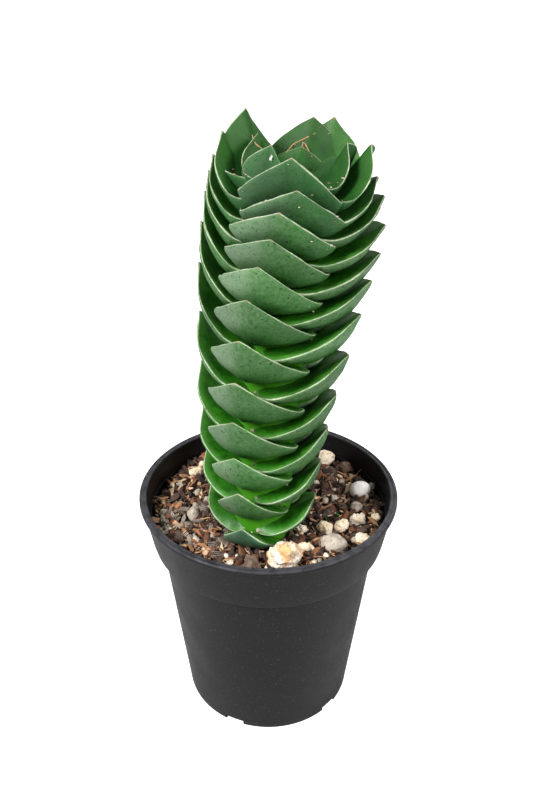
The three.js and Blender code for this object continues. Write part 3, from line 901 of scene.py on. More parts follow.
def make_plastic():
    """Satin black with dust, fine upright scratches and a painted highlight in patches on the top of the
    lip.
    """
    material, tree, shader, place = new_material("black_plastic", 0.45)
    base, patch = blotches(tree, place, 90.0, PLASTIC_BLACK, PLASTIC_WORN, 0.3)
    height = parts_of(tree, place)[2]
    lip = smooth_step(tree, height, POT_TOP - 0.9 * MM, POT_TOP - 0.1 * MM)
    # Painted highlight: the top of the lip is lighter, in patches.
    painted_lip_highlight = times(tree, lip, smooth_step(tree, noise_height(tree, place, 300.0), 0.3, 0.6, 0.3, 1.0))
    base = blend(tree, painted_lip_highlight, base, LIP_HIGHLIGHT)
    dust = specks(tree, place, 1500.0, 0.64, 0.08)
    base = blend(tree, times(tree, dust, 0.22), base, DUST_GREY)
    stretch = output(tree, "ShaderNodeMapping", {"Vector": place, "Scale": (1.0, 1.0, 0.16)})
    scratch = specks(tree, stretch, 2600.0, 0.7, 0.04)
    base = blend(tree, times(tree, scratch, 0.2), base, DUST_GREY)
    tree.links.new(base, shader.inputs["Base Color"])
    rough = plus(tree, 0.38, times(tree, patch, 0.14))
    tree.links.new(rough, shader.inputs["Roughness"])
    grain = bump(tree, noise_height(tree, place, 2200.0, 3.0), 0.25, 0.0001)
    tree.links.new(bump(tree, scratch, 0.3, 0.0001, grain), shader.inputs["Normal"])
    shader.inputs["Specular IOR Level"].default_value = 0.16
    return material


PLASTIC = make_plastic()
print("plastic made; the lip is at", round(POT_TOP, 4), "m")

# %% [markdown]
# ## The pot
# A pot is a profile turned about its axis, so a geometry tree turns it: a grid takes its height
# and radius from the profile and its angle from its column. The notches in the foot ring and the
# drain holes repeat round the axis, so they are small cutters set out by the same tree.

# %% Pot profile, in millimetres
RIM_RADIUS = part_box("pot")[1].x / MM
POT_HEIGHT = POT_TOP / MM
FOOT_RADIUS = 27.3
FOOT_INNER = 25.6
FOOT_LEAN = 0.3
FLOOR_ROW = 12
STEP_HEIGHT = 61.0
BODY_TOP_RADIUS = 34.0
BAND_BOTTOM_RADIUS = 36.4
BAND_TOP_RADIUS = 39.0
BODY_FOOT_HEIGHT = 2.5
LIP_UNDER = POT_HEIGHT - 1.6
WALL = 1.2
FLOOR_UNDERSIDE = 2.0
FLOOR_TOP = FLOOR_UNDERSIDE + WALL
INNER_STEP = STEP_HEIGHT + WALL


def body_radius(z):
    """The outer radius of the tapered body."""
    share = (z - BODY_FOOT_HEIGHT) / (STEP_HEIGHT - BODY_FOOT_HEIGHT)
    return FOOT_RADIUS + 0.2 + (BODY_TOP_RADIUS - FOOT_RADIUS - 0.2) * share


def band_radius(z):
    """The outer radius of the band above the step."""
    share = (z - STEP_HEIGHT) / (LIP_UNDER - STEP_HEIGHT)
    return BAND_BOTTOM_RADIUS + (BAND_TOP_RADIUS - BAND_BOTTOM_RADIUS) * share


def bend(centre_radius, centre_height, size, start, end, steps=5):
    """A rounded corner of the profile: an arc between two directions in degrees."""
    turns = [math.radians(start + (end - start) * i / steps) for i in range(steps + 1)]
    return [(centre_radius + size * math.cos(a), centre_height + size * math.sin(a)) for a in turns]


def pot_profile():
    """Up the outside from the middle of the floor, over the lip, and down the inside."""
    inner_top = band_radius(LIP_UNDER) - WALL
    outside = [(radius, FLOOR_UNDERSIDE) for radius in (0, FLOOR_ROW, FOOT_INNER)]
    outside += [(FOOT_INNER + FOOT_LEAN, 0)]
    outside += bend(FOOT_RADIUS - 0.5, 0.5, 0.5, -90, 0, 3)
    outside += [(body_radius(z), z) for z in (BODY_FOOT_HEIGHT, 20, 40, 58, STEP_HEIGHT - 0.5)]
    outside += bend(BAND_BOTTOM_RADIUS - 0.5, STEP_HEIGHT + 0.35, 0.45, -80, -5, 4)
    outside += [(band_radius(z), z) for z in (63, 68, 73)] + [(BAND_TOP_RADIUS, LIP_UNDER - 0.3)]
    lip = bend(RIM_RADIUS - 0.45, LIP_UNDER + 0.45, 0.45, -80, 0, 4)
    lip += bend(RIM_RADIUS - 0.7, POT_HEIGHT - 0.7, 0.7, 0, 105, 6)
    lip += [(RIM_RADIUS - 1.25, POT_HEIGHT - 0.22), (RIM_RADIUS - 1.4, POT_HEIGHT - 0.2)]
    lip += bend(RIM_RADIUS - 1.85, POT_HEIGHT - 0.45, 0.4, 60, 180, 5)
    inside = [(inner_top, LIP_UNDER - 0.6)] + [(band_radius(z) - WALL, z) for z in (73, 70.2)]
    inside += [(band_radius(70) - WALL - 0.25, 69.9), (band_radius(63) - WALL, 63)]
    inside += [(band_radius(INNER_STEP) - WALL, INNER_STEP), (body_radius(INNER_STEP) - WALL, INNER_STEP)]
    inside += [(body_radius(z) - WALL, z) for z in (50, 30, FLOOR_TOP + 1)]
    inside += [(body_radius(FLOOR_TOP) - WALL - 1, FLOOR_TOP), (FLOOR_ROW, FLOOR_TOP), (0, FLOOR_TOP)]
    return outside + lip + inside


PROFILE = bpy.data.meshes.new("pot_profile")
PROFILE.from_pydata([(radius * MM, 0, height * MM) for radius, height in pot_profile()], [], [])
print("profile points:", len(PROFILE.vertices))


# %% Pot tree
NOTCH_LENGTH = 8
DRAIN_SIDES = 32
POT_SIDES = 160
POT_CREASE = 32


def turned_profile(tree, given):
    """A grid wrapped round the axis, each row at the height and radius of its profile point."""
    points = given["Profile points"]
    columns = plus(tree, given["Sides"], 1.0)
    grid = output(tree, "GeometryNodeMeshGrid", {"Vertices X": columns, "Vertices Y": points})
    number = output(tree, "GeometryNodeInputIndex")
    row = calculate(tree, "MODULO", number, points)
    column = calculate(tree, "FLOOR", calculate(tree, "DIVIDE", plus(tree, number, 0.5), points))
    spot = output(tree, "GeometryNodeInputPosition")
    wanted = {"Geometry": given["Geometry"], "Value": spot, "Index": row}
    sample = output(tree, "GeometryNodeSampleIndex", wanted, data_type="FLOAT_VECTOR", domain="POINT")
    point = parts_of(tree, sample)
    angle = times(tree, calculate(tree, "DIVIDE", column, given["Sides"]), 2 * math.pi)
    place = vector_of(tree, times(tree, point[0], calculate(tree, "COSINE", angle)),
                      times(tree, point[0], calculate(tree, "SINE", angle)), point[2])
    turned = output(tree, "GeometryNodeSetPosition", {"Geometry": grid, "Position": place})
    return output(tree, "GeometryNodeMergeByDistance", {"Geometry": turned, "Distance": 0.01 * MM})


def ring_of(tree, shape, count, radius, first_angle, height):
    """The same cutter a few times round the axis, each turned to face outwards."""
    circle = output(tree, "GeometryNodeMeshCircle", {"Vertices": count, "Radius": radius})
    turned = output(tree, "GeometryNodeTransform", {
        "Geometry": circle, "Rotation": first_angle, "Translation": height})
    spot = parts_of(tree, output(tree, "GeometryNodeInputPosition"))
    facing = vector_of(tree, z=calculate(tree, "ARCTAN2", spot[1], spot[0]))
    placed = output(tree, "GeometryNodeInstanceOnPoints",
                    {"Points": turned, "Instance": shape, "Rotation": facing})
    return output(tree, "GeometryNodeRealizeInstances", {"Geometry": placed})


def make_pot_tree():
    """The turned pot with its foot notches and drain holes cut out."""
    sizes = {"Sides": "Int", "Profile points": "Int", "Notches": "Int", "First notch": "Float",
             "Foot radius": "Float", "Notch width": "Float", "Notch height": "Float",
             "Drain radius": "Float", "Drain ring": "Float", "Floor height": "Float", "Material": "Material"}
    tree, given = geometry_tree("turned pot", sizes)
    shell = turned_profile(tree, given)
    both_ways = times(tree, given["Notch height"], 2.0)
    box_size = vector_of(tree, NOTCH_LENGTH * MM, given["Notch width"], both_ways)
    notch = output(tree, "GeometryNodeMeshCube", {"Size": box_size})
    drain = output(tree, "GeometryNodeMeshCylinder", {
        "Vertices": DRAIN_SIDES, "Radius": given["Drain radius"], "Depth": 4 * WALL * MM})
    start = vector_of(tree, z=given["First notch"])
    floor_level = vector_of(tree, z=given["Floor height"])
    cut = add_node(tree, "GeometryNodeMeshBoolean", {"Mesh 1": shell}, operation="DIFFERENCE")
    for shape, radius, level in ((notch, "Foot radius", (0, 0, 0)), (drain, "Drain ring", floor_level)):
        cutters = ring_of(tree, shape, given["Notches"], given[radius], start, level)
        tree.links.new(cutters, cut.inputs["Mesh 2"])
    end_tree(tree, cut.outputs[0], given["Material"])
    return tree


pot = grow(link_object("pot_fine", PROFILE), make_pot_tree(), {
    "Sides": POT_SIDES, "Profile points": len(PROFILE.vertices), "Notches": 5,
    "First notch": math.radians(-114),
    "Foot radius": FOOT_RADIUS * MM, "Notch width": 6.2 * MM, "Notch height": 1.9 * MM,
    "Drain radius": 3 * MM, "Drain ring": 17 * MM, "Floor height": (FLOOR_UNDERSIDE + WALL / 2) * MM,
    "Material": PLASTIC})
face_outwards(pot.data)
shade_smooth(pot.data, POT_CREASE)
finish_piece(pot, "pot_plastic", "pot")

# %% [markdown]
# ## Finishes of the soil
# Potting grit is a mix: dark humus, reddish bark, tan wood, pale pumice, grey flakes and roots.
# Every grain carries a random tone, and each kind's material turns that tone into one of its
# own colours, so neighbours differ as they do in a real pot.

# %% Grain materials
STAIN_DARK = (0.36, 0.34, 0.32, 1)
STAIN_LIGHT = (0.62, 0.61, 0.6, 1)
STONE_PIT = colour(70, 52, 38)


def make_grain_material(name, colours, roughness=0.85, relief=0.5, scale=1200.0, pits=0.0):
    """A mineral or wood finish whose colour follows the tone that each grain carries."""
    material, tree, shader, place = new_material(name, roughness)
    picker = tree.nodes.new("ShaderNodeValToRGB")
    steps = picker.color_ramp.elements
    while len(steps) < len(colours):
        steps.new(0.5)
    for i, value in enumerate(colours):
        steps[i].position = i / (len(colours) - 1)
        steps[i].color = colour(*value)
    tree.links.new(carried(tree, "tone"), picker.inputs[0])
    stain, _ = blotches(tree, place, scale * 0.5, STAIN_DARK, STAIN_LIGHT, 0.14)
    base = blend(tree, 0.85, picker.outputs[0], stain, "OVERLAY")
    spots = specks(tree, place, scale * 1.4, 0.6, 0.05)
    if pits:
        base = blend(tree, times(tree, spots, pits), base, STONE_PIT)
    tree.links.new(base, shader.inputs["Base Color"])
    rough = bump(tree, noise_height(tree, place, scale, 5.0), relief, 0.0004)
    if pits:
        rough = bump(tree, spots, -0.6, 0.0004, rough)
    tree.links.new(rough, shader.inputs["Normal"])
    return material


HUMUS = make_grain_material("humus", [(26, 18, 13), (44, 31, 23), (34, 25, 20)], 0.95)
CRUMB = make_grain_material(
    "dark_crumb", [(38, 29, 25), (74, 56, 46), (52, 42, 38), (96, 78, 68), (60, 40, 28)], 0.9, 0.7)
BARK = make_grain_material(
    "bark", [(92, 52, 30), (58, 36, 26), (128, 76, 46), (76, 54, 44), (150, 98, 62)], 0.85, 0.7)
TAN_WOOD = make_grain_material(
    "tan_wood", [(184, 142, 104), (226, 196, 160), (150, 104, 70), (212, 164, 120)], 0.8, 0.6)
PALE_GRIT = make_grain_material(
    "pale_grit", [(214, 204, 188), (168, 156, 142), (238, 222, 198), (150, 138, 126)], 0.85, 0.6, pits=0.4)
FLAKE = make_grain_material(
    "grey_flake", [(132, 120, 110), (176, 164, 150), (96, 84, 76), (204, 188, 170)], 0.5, 0.6)
ROOT = make_grain_material("root", [(186, 140, 96), (150, 100, 62), (212, 172, 128)], 0.8, 0.4)
print("grain finishes made")

# %% [markdown]
# ## The bed of soil
# The packed soil already has the right place, with a hollow for each large stone. Its copy gets
# more points and a fine, lumpy relief on top. The loose grains are scattered over that bed.

# %% Soil bed
SOIL_LOW = 60 * MM
HOLE_FLOOR = 49.9
COLLAR_RADIUS = 20
COLLAR_HEIGHT = 69.4
LUMPY_ABOVE = 64
LUMP_HEIGHT = 0.55
SOIL_LUMPS = 420


def merged_copy(node, name):
    """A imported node's mesh as a new one, with its loose triangles joined."""
    shape = bmesh.new()
    shape.from_mesh(frame["nodes"][node].data)
    bmesh.ops.remove_doubles(shape, verts=shape.verts, dist=0.002 * MM)
    mesh = bpy.data.meshes.new(name)
    shape.to_mesh(mesh)
    shape.free()
    return mesh


def make_soil_bed():
    """The packed soil with more points on top, a collar round the stem and a lumpy skin."""
    mesh = merged_copy("soil", "soil_bed")
    shape = bmesh.new()
    shape.from_mesh(mesh)
    for _ in range(2):
        top = [edge for edge in shape.edges if min(v.co.z for v in edge.verts) > SOIL_LOW]
        bmesh.ops.subdivide_edges(shape, edges=top, cuts=1, use_grid_fill=True)
    bmesh.ops.triangulate(shape, faces=shape.faces)
    shape.normal_update()
    inner_wall = (band_radius(SOIL_LOW / MM + 8) - WALL - 0.6) * MM
    foot = axis_point(0).xy * MM
    for vert in shape.verts:
        if (vert.co.xy - foot).length < COLLAR_RADIUS * MM and vert.co.z > HOLE_FLOOR * MM:
            vert.co.z = max(vert.co.z, COLLAR_HEIGHT * MM)
        if vert.co.z > LUMPY_ABOVE * MM and vert.co.xy.length < inner_wall:
            vert.co.z += noise.fractal(vert.co * SOIL_LUMPS, 1.0, 2.1, 4) * LUMP_HEIGHT * MM
    shape.to_mesh(mesh)
    shape.free()
    mesh.materials.clear()
    mesh.materials.append(HUMUS)
    return mesh


soil_bed = link_object("soil_bed", make_soil_bed())
shade_smooth(soil_bed.data, SOFT_CREASE)
finish_piece(soil_bed, "soil", "soil")

# %% [markdown]
# ## Grains to scatter
# A grain is one of a few small shapes: an angular chip is the hull of some random points, a
# rounded grain is a dented ball, a flake is a stack of thin plates, and a root is a bent tube.
# Each has only a few dozen faces, because it is repeated hundreds of times.

# %% Chips and pebbles
def mesh_from(name, shape):
    """A mesh from a finished bmesh, with its faces out."""
    bmesh.ops.recalc_face_normals(shape, faces=shape.faces)
    mesh = bpy.data.meshes.new(name)
    shape.to_mesh(mesh)
    shape.free()
    return mesh


def random_point(draw, reach):
    """A point on an ellipsoid."""
    direction = Vector((draw.gauss(0, 1), draw.gauss(0, 1), draw.gauss(0, 1))).normalized()
    return direction * Vector(reach)


def chip_mesh(name, draw, reach, points=16):
    """An angular chip, one unit across."""
    shape = bmesh.new()
    for _ in range(points):
        shape.verts.new(random_point(draw, reach))
    hull = bmesh.ops.convex_hull(shape, input=shape.verts)
    left_over = hull["geom_interior"] + hull["geom_unused"]
    inside = [part for part in left_over if isinstance(part, bmesh.types.BMVert)]
    bmesh.ops.delete(shape, geom=inside, context="VERTS")
    return mesh_from(name, shape)


def pebble_mesh(name, draw, reach, dents=0.18, detail=2):
    """A rounded, dented grain."""
    shape = bmesh.new()
    bmesh.ops.create_icosphere(shape, subdivisions=detail, radius=1)
    shift = Vector((draw.random(), draw.random(), draw.random())) * 40
    for vert in shape.verts:
        swell = 1 + dents * noise.fractal(vert.co * 1.4 + shift, 1.0, 2.0, 3)
        vert.co = vert.co * Vector(reach) * swell
    return mesh_from(name, shape)


print("chips and pebbles ready")

# %% Flakes
PLATE_GAP = 0.26
PLATE_THICK = 0.15


def flake_mesh(name, draw, plates=4):
    """A stack of thin plates, like a small opened book."""
    shape = bmesh.new()
    for i in range(plates):
        turn, wide = draw.uniform(-0.3, 0.3), draw.uniform(0.8, 1.05)
        height, tilt = (i - plates / 2) * PLATE_GAP, draw.uniform(-0.1, 0.1)
        ring = []
        for level in (0, PLATE_THICK):
            for k in range(6):
                a = turn + math.pi * k / 3
                reach = wide * (0.75 + 0.25 * math.cos(2 * a))
                x, y = reach * math.cos(a), 0.7 * reach * math.sin(a)
                ring.append(shape.verts.new((x, y, height + level + tilt * x)))
        shape.faces.new(ring[5::-1])
        shape.faces.new(ring[6:])
        for k in range(6):
            n = (k + 1) % 6
            shape.faces.new((ring[k], ring[n], ring[6 + n], ring[6 + k]))
    return mesh_from(name, shape)


print("flakes ready")

# %% Roots
ACROSS = Vector((0, 1, 0))
UP = Vector((0, 0, 1))


def ring_round(shape, centre, side, up, reach, sides):
    """The points of a round section."""
    turns = [2 * math.pi * k / sides for k in range(sides)]
    return [shape.verts.new(centre + (side * math.cos(a) + up * math.sin(a)) * reach) for a in turns]


def join_rings(shape, rings):
    """The closed skin of a tube through its round sections."""
    sides = len(rings[0])
    for low, high in zip(rings, rings[1:]):
        for k in range(sides):
            n = (k + 1) % sides
            shape.faces.new((low[k], low[n], high[n], high[k]))
    shape.faces.new(rings[0])
    shape.faces.new(rings[-1])


def root_mesh(name, draw, thickness=0.05, sides=5, steps=9):
    """A thin bent tube two units long that tapers to its ends."""
    bow, sway = draw.uniform(0.15, 0.5), draw.uniform(1.5, 4.0)
    shape, rings = bmesh.new(), []
    for i in range(steps + 1):
        s = -1 + 2 * i / steps
        aside = bow * s * s - bow / 2 + 0.06 * math.sin(sway * 3 * s)
        centre = Vector((s, aside, 0.12 * math.sin(sway * s)))
        thick = thickness * (1 - 0.6 * s * s)
        rings.append(ring_round(shape, centre, ACROSS, UP, thick, sides))
    join_rings(shape, rings)
    return mesh_from(name, shape)


print("roots ready")


# %% Kinds of grain
def grain_kind(name, meshes):
    """The shapes of one kind of grain, in a collection of their own outside the scene."""
    kind = bpy.data.collections.new(name)
    for mesh in meshes:
        kind.objects.link(bpy.data.objects.new(mesh.name, mesh))
    return kind


DRAW = random.Random(31)
CRUMBS = grain_kind("crumbs", [chip_mesh("crumb", DRAW, (1, 0.85, 0.7), 18) for _ in range(6)])
CHIPS = grain_kind("chips", [chip_mesh("chip", DRAW, (1, 0.5, 0.26), 14) for _ in range(6)])
SPLINTERS = grain_kind("splinters", [chip_mesh("splinter", DRAW, (1, 0.24, 0.12), 12) for _ in range(5)])
PEBBLES = grain_kind("pebbles", [pebble_mesh("grain", DRAW, (1, 0.85, 0.75)) for _ in range(5)])
FLAKES = grain_kind("flakes", [flake_mesh("flake", DRAW) for _ in range(4)])
ROOTS = grain_kind("roots", [root_mesh("root", DRAW) for _ in range(5)])
print("kinds of grain:", 6)

# %% [markdown]
# ## Scattering the grains
# One tree scatters every kind. It puts points on the bed, as thick as a number carried by the
# bed says, sets a random grain of the kind on each, turned and sized at random, and gives every
# grain its tone. More small ones than large ones are drawn, as a sieve would find them.

# %% Scatter tree
SIEVE_POWER = 2.2
TONE_SEED_SHIFT = 7.0


def random_number(tree, seed):
    """A random number from 0 to 1 for each point."""
    return add_node(tree, "FunctionNodeRandomValue", {"Seed": seed}, data_type="FLOAT").outputs[1]


def make_scatter_tree():
    """Random grains of one kind on a bed, real at the end."""
    sizes = {"Grains": "Collection", "Where": "String", "Per square metre": "Float", "Smallest": "Float",
             "Largest": "Float", "Tilt": "Float", "Raise": "Float", "Seed": "Int", "Material": "Material"}
    tree, given = geometry_tree("scatter", sizes)
    thick = times(tree, named(tree, given["Where"]), given["Per square metre"])
    points = output(tree, "GeometryNodeDistributePointsOnFaces",
                    {"Mesh": given["Geometry"], "Density": thick, "Seed": given["Seed"]})
    draw = random_number(tree, given["Seed"])
    spread = calculate(tree, "SUBTRACT", given["Largest"], given["Smallest"])
    share = calculate(tree, "POWER", draw, SIEVE_POWER)
    size = plus(tree, given["Smallest"], times(tree, spread, share))
    lift = vector_of(tree, z=times(tree, size, given["Raise"]))
    raised = output(tree, "GeometryNodeSetPosition", {"Geometry": points, "Offset": lift})
    low = times(tree, given["Tilt"], -1.0)
    least = vector_of(tree, low, low, -math.pi)
    most = vector_of(tree, given["Tilt"], given["Tilt"], math.pi)
    turn = output(tree, "FunctionNodeRandomValue", {0: least, 1: most, "Seed": given["Seed"]},
                  data_type="FLOAT_VECTOR")
    shapes = output(tree, "GeometryNodeCollectionInfo",
                    {"Collection": given["Grains"], "Separate Children": True, "Reset Children": True})
    grains = output(tree, "GeometryNodeInstanceOnPoints", {
        "Points": raised, "Instance": shapes, "Pick Instance": True, "Rotation": turn, "Scale": size})
    tone = random_number(tree, plus(tree, given["Seed"], TONE_SEED_SHIFT))
    toned = output(tree, "GeometryNodeStoreNamedAttribute",
                   {"Geometry": grains, "Name": "tone", "Value": tone},
                   data_type="FLOAT", domain="INSTANCE")
    end_tree(tree, toned, given["Material"])
    return tree


SCATTER = make_scatter_tree()


def scatter(name, kind, where, per_square_cm, sizes, material, tilt=3.1, lift=0.3, seed=1, smooth=False):
    """A new piece: grains of one kind, from least to most across in millimetres, over the bed."""
    piece = link_object(name, soil_bed.data)
    grow(piece, SCATTER, {
        "Grains": kind, "Where": where, "Per square metre": per_square_cm * 1e4,
        "Smallest": sizes[0] * MM, "Largest": sizes[1] * MM, "Tilt": tilt, "Raise": lift,
        "Seed": seed, "Material": material})
    if smooth:
        shade_smooth(piece.data, ROUND_CREASE)
    finish_piece(piece, "soil")


print("scatter tree ready")


# %% Where each kind lies
STEM_FOOT = axis_point(0)
BED_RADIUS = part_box("soil")[1].x / MM
OPEN_ABOVE = 63
STONE_HOLD = 2.6
STEM_HOLD = 9
MAIN_STONES = [node for node in frame["nodes"] if node not in ("pot", "soil", "leafy_stem")]
STONE_PLACES = [(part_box(node)[0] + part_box(node)[1]) / 2 / MM for node in MAIN_STONES]


def open_top(place, normal):
    """1 on the open top of the bed, 0 on its side and under the large stones."""
    if normal.z < 0.25 or place.z < OPEN_ABOVE or place.xy.length > BED_RADIUS - 0.4:
        return 0.0
    if any((place.xy - stone.xy).length < STONE_HOLD for stone in STONE_PLACES):
        return 0.0
    return 1.0 if (place.xy - STEM_FOOT.xy).length > STEM_HOLD else 0.0


def left_side(place, normal):
    """The silvery flakes lie in a drift at the left."""
    far = math.hypot((place.x + 25) / 11, (place.y + 10) / 13)
    return open_top(place, normal) * max(0.0, min(1.0, 1.6 - far))


def left_rim(place, normal):
    """Tan chips lie along the wall at the left and the front."""
    near_wall = 1.0 if place.xy.length > BED_RADIUS - 7 else 0.0
    return open_top(place, normal) * near_wall * (1.0 if place.x < 0 else 0.2)


def right_side(place, normal):
    """Most pale grit lies at the right."""
    return open_top(place, normal) * (1.0 if place.x > 4 else 0.35)


BED = soil_bed.data
for rule in (open_top, left_side, left_rim, right_side):
    store(BED, rule.__name__, [rule(vert.co / MM, vert.normal) for vert in BED.vertices])
print("open points of the bed:", sum(v.value for v in BED.attributes["open_top"].data))

# %% Loose grains on the bed
scatter("dark_crumbs", CRUMBS, "open_top", 26, (0.5, 2.1), CRUMB, seed=3)
scatter("bark_chips", CHIPS, "open_top", 13, (1.0, 3.0), BARK, tilt=0.9, lift=0.35, seed=5)
scatter("tan_splinters", SPLINTERS, "open_top", 12, (0.9, 3.2), TAN_WOOD, tilt=0.8, lift=0.4, seed=8)
scatter("tan_chips", CHIPS, "left_rim", 16, (0.8, 2.6), TAN_WOOD, tilt=0.9, lift=0.4, seed=19)
scatter("pale_grit", PEBBLES, "right_side", 9, (0.4, 1.3), PALE_GRIT, seed=9, smooth=True)
scatter("grey_flakes", FLAKES, "left_side", 24, (0.8, 2.4), FLAKE, tilt=1.1, lift=0.45, seed=11)
scatter("fine_roots", ROOTS, "open_top", 5, (1.6, 4.6), ROOT, tilt=0.45, lift=0.3, seed=14, smooth=True)

# %% [markdown]
# ## The large stones
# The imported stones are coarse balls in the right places. Each copy is smoothed and fitted back to
# its box, then dented and pitted by noise, more for the crumbling rocks than for the pebbles.

# %% Stone finishes
WHITE_STONE = make_grain_material("white_stone", [(246, 240, 235)] * 2, 0.8, 0.5, 900.0, 0.25)
CREAM_STONE = make_grain_material("cream_stone", [(238, 220, 196)] * 2, 0.9, 0.8, 800.0, 0.45)
GREY_STONE = make_grain_material("grey_stone", [(178, 168, 154)] * 2, 0.75, 0.5, 800.0, 0.35)
BROWN_STONE = make_grain_material("brown_stone", [(112, 92, 78)] * 2, 0.9, 0.9, 900.0, 0.4)


ROCK_CREAM = colour(250, 240, 226)
ROCK_STAIN = colour(226, 176, 118)
ROCK_PIT = colour(150, 92, 48)


def make_orange_stone():
    """Cream rock with warm stains in soft patches and dark pits."""
    material, tree, shader, place = new_material("orange_stone", 0.85)
    base, _ = blotches(tree, place, 160.0, ROCK_CREAM, ROCK_STAIN, 0.16)
    spots = specks(tree, place, 900.0, 0.6, 0.06)
    base = blend(tree, times(tree, spots, 0.55), base, ROCK_PIT)
    tree.links.new(base, shader.inputs["Base Color"])
    relief = bump(tree, noise_height(tree, place, 700.0, 6.0), 0.8, 0.6 * MM)
    tree.links.new(bump(tree, spots, -0.6, 0.5 * MM, relief), shader.inputs["Normal"])
    return material


ORANGE_STONE = make_orange_stone()
print("stone finishes made")


# %% Large stones
def fitted(mesh, low, high):
    """Scales a mesh so that its box is the given one."""
    places = [vert.co.copy() for vert in mesh.vertices]
    for axis in range(3):
        least, most = min(p[axis] for p in places), max(p[axis] for p in places)
        for place in places:
            place[axis] = low[axis] + (place[axis] - least) / (most - least) * (high[axis] - low[axis])
    mesh.vertices.foreach_set("co", [x for place in places for x in place])


LUMPS = 450


def make_stone(node, material, slot_name, dents, detail=3):
    """A smoothed, dented copy of a packed stone."""
    piece = link_object(node + "_fine", merged_copy(node, node + "_fine"))
    smoother = piece.modifiers.new("smooth", "SUBSURF")
    smoother.levels = smoother.render_levels = detail
    mesh = bpy.data.meshes.new_from_object(piece.evaluated_get(bpy.context.evaluated_depsgraph_get()))
    piece.modifiers.clear()
    piece.data = mesh
    places = [(vert.co.copy(), vert.normal.copy()) for vert in mesh.vertices]
    for vert, (place, normal) in zip(mesh.vertices, places):
        lump = noise.fractal(place * LUMPS, 1.0, 2.0, 5) + 0.5 * abs(noise.noise(place * 2 * LUMPS))
        vert.co = place + normal * lump * dents * MM
    fitted(mesh, *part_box(node))
    mesh.materials.clear()
    mesh.materials.append(material)
    shade_smooth(mesh, ROUND_CREASE)
    finish_piece(piece, slot_name, node)


STONE_KINDS = {"orange": (ORANGE_STONE, "orange_stone", 0.9), "white": (WHITE_STONE, "pale_stone", 0.12),
               "grey": (GREY_STONE, "grey_stone", 0.3), "brown": (BROWN_STONE, "brown_stone", 1.1)}


def stone_kind(node):
    """Material, slot and depth of the dents, by the stone's name; the others are cream."""
    for word, kind in STONE_KINDS.items():
        if word in node:
            return kind
    return CREAM_STONE, "pale_stone", 0.7


for node in MAIN_STONES:
    make_stone(node, *stone_kind(node))

# %% [markdown]
# ## Small stones, roots and crumbs in their places
# Some small things are easy to tell apart in the photograph. Each is listed with the place in the
# picture where it shows. A ray from the camera finds the point of the soil, or of the plant, that
# carries it there, and it is set down on that point.

# %% Small things by their place in the picture
CREAM_GRAINS = [(343, 502, 1.2), (344, 518, 1.2), (376, 519, 1.5), (301, 531, 1.9), (194, 476, 1.9),
                (203, 466, 1.6), (326, 557, 1.1), (331, 474, 1.1), (339, 479, 1.3), (350, 468, 1.3),
                (268, 569, 1.1), (230, 565, 1.2), (170, 533, 1.4), (314, 563, 1.0), (292, 563, 1.3)]
GREY_GRAINS = [(334, 500, 1.4), (353, 527, 2.0), (181, 486, 1.5), (193, 513, 1.5), (208, 503, 1.8),
               (198, 494, 1.4), (343, 553, 1.6), (371, 488, 1.4), (368, 474, 1.5), (194, 543, 1.9)]
DARK_GRAINS = [(176, 501, 2.3), (325, 490, 2.4), (331, 481, 2.0), (240, 562, 1.8), (366, 512, 2.0),
               (316, 556, 1.9), (196, 536, 2.0), (376, 500, 1.7)]
TAN_GRAINS = [(184, 548, 2.1), (208, 553, 2.2), (305, 556, 1.4), (349, 547, 1.3), (178, 477, 1.6),
              (200, 484, 1.7), (188, 497, 2.0), (221, 556, 1.7), (352, 517, 1.3), (226, 548, 1.8)]
MOSS_TUFTS = [(323, 518, 0.5), (326, 519, 0.6), (325, 516, 0.5), (337, 515, 0.5), (339, 516, 0.4),
              (321, 520, 0.4)]
ROOT_LINES = [[(318, 474), (324, 477), (329, 483), (333, 493)],
              [(312, 528), (315, 534), (313, 540), (310, 546)],
              [(208, 543), (203, 546), (197, 552)], [(157, 510), (161, 512), (165, 516)],
              [(340, 508), (346, 503), (351, 499)], [(216, 520), (211, 528), (213, 537)]]


def seen_points(mesh, pixels):
    """The points of a mesh that show at some places in the picture, or None where none does."""
    tree = BVHTree.FromPolygons([v.co for v in mesh.vertices], [list(p.vertices) for p in mesh.polygons])
    return [tree.ray_cast(CAMERA_PLACE, view_ray(x, y))[0] for x, y in pixels]


LAY_DRAW = random.Random(5)
STANDS_OUT = 0.35


def lay(name, mesh, places, kind, material, slot_name="soil", smooth=True):
    """One piece made of grains laid where the camera sees each listed place."""
    shape = bmesh.new()
    tone = shape.verts.layers.float.new("tone")
    shapes = [thing.data for thing in kind.objects]
    for (_, _, size), point in zip(places, seen_points(mesh, [place[:2] for place in places])):
        if point is None:
            continue
        before = len(shape.verts)
        shape.from_mesh(LAY_DRAW.choice(shapes))
        shape.verts.ensure_lookup_table()
        spin = Matrix.Rotation(LAY_DRAW.uniform(0, 6.3), 3, "Z")
        turn = spin @ Matrix.Rotation(LAY_DRAW.uniform(-0.5, 0.5), 3, "X")
        value = LAY_DRAW.random()
        for vert in shape.verts[before:]:
            vert.co = point + turn @ vert.co * size * MM + UP * STANDS_OUT * size * MM
            vert[tone] = value
    piece = link_object(name, mesh_from(name, shape))
    piece.data.materials.append(material)
    if smooth:
        shade_smooth(piece.data, SOFT_CREASE)
    finish_piece(piece, slot_name)


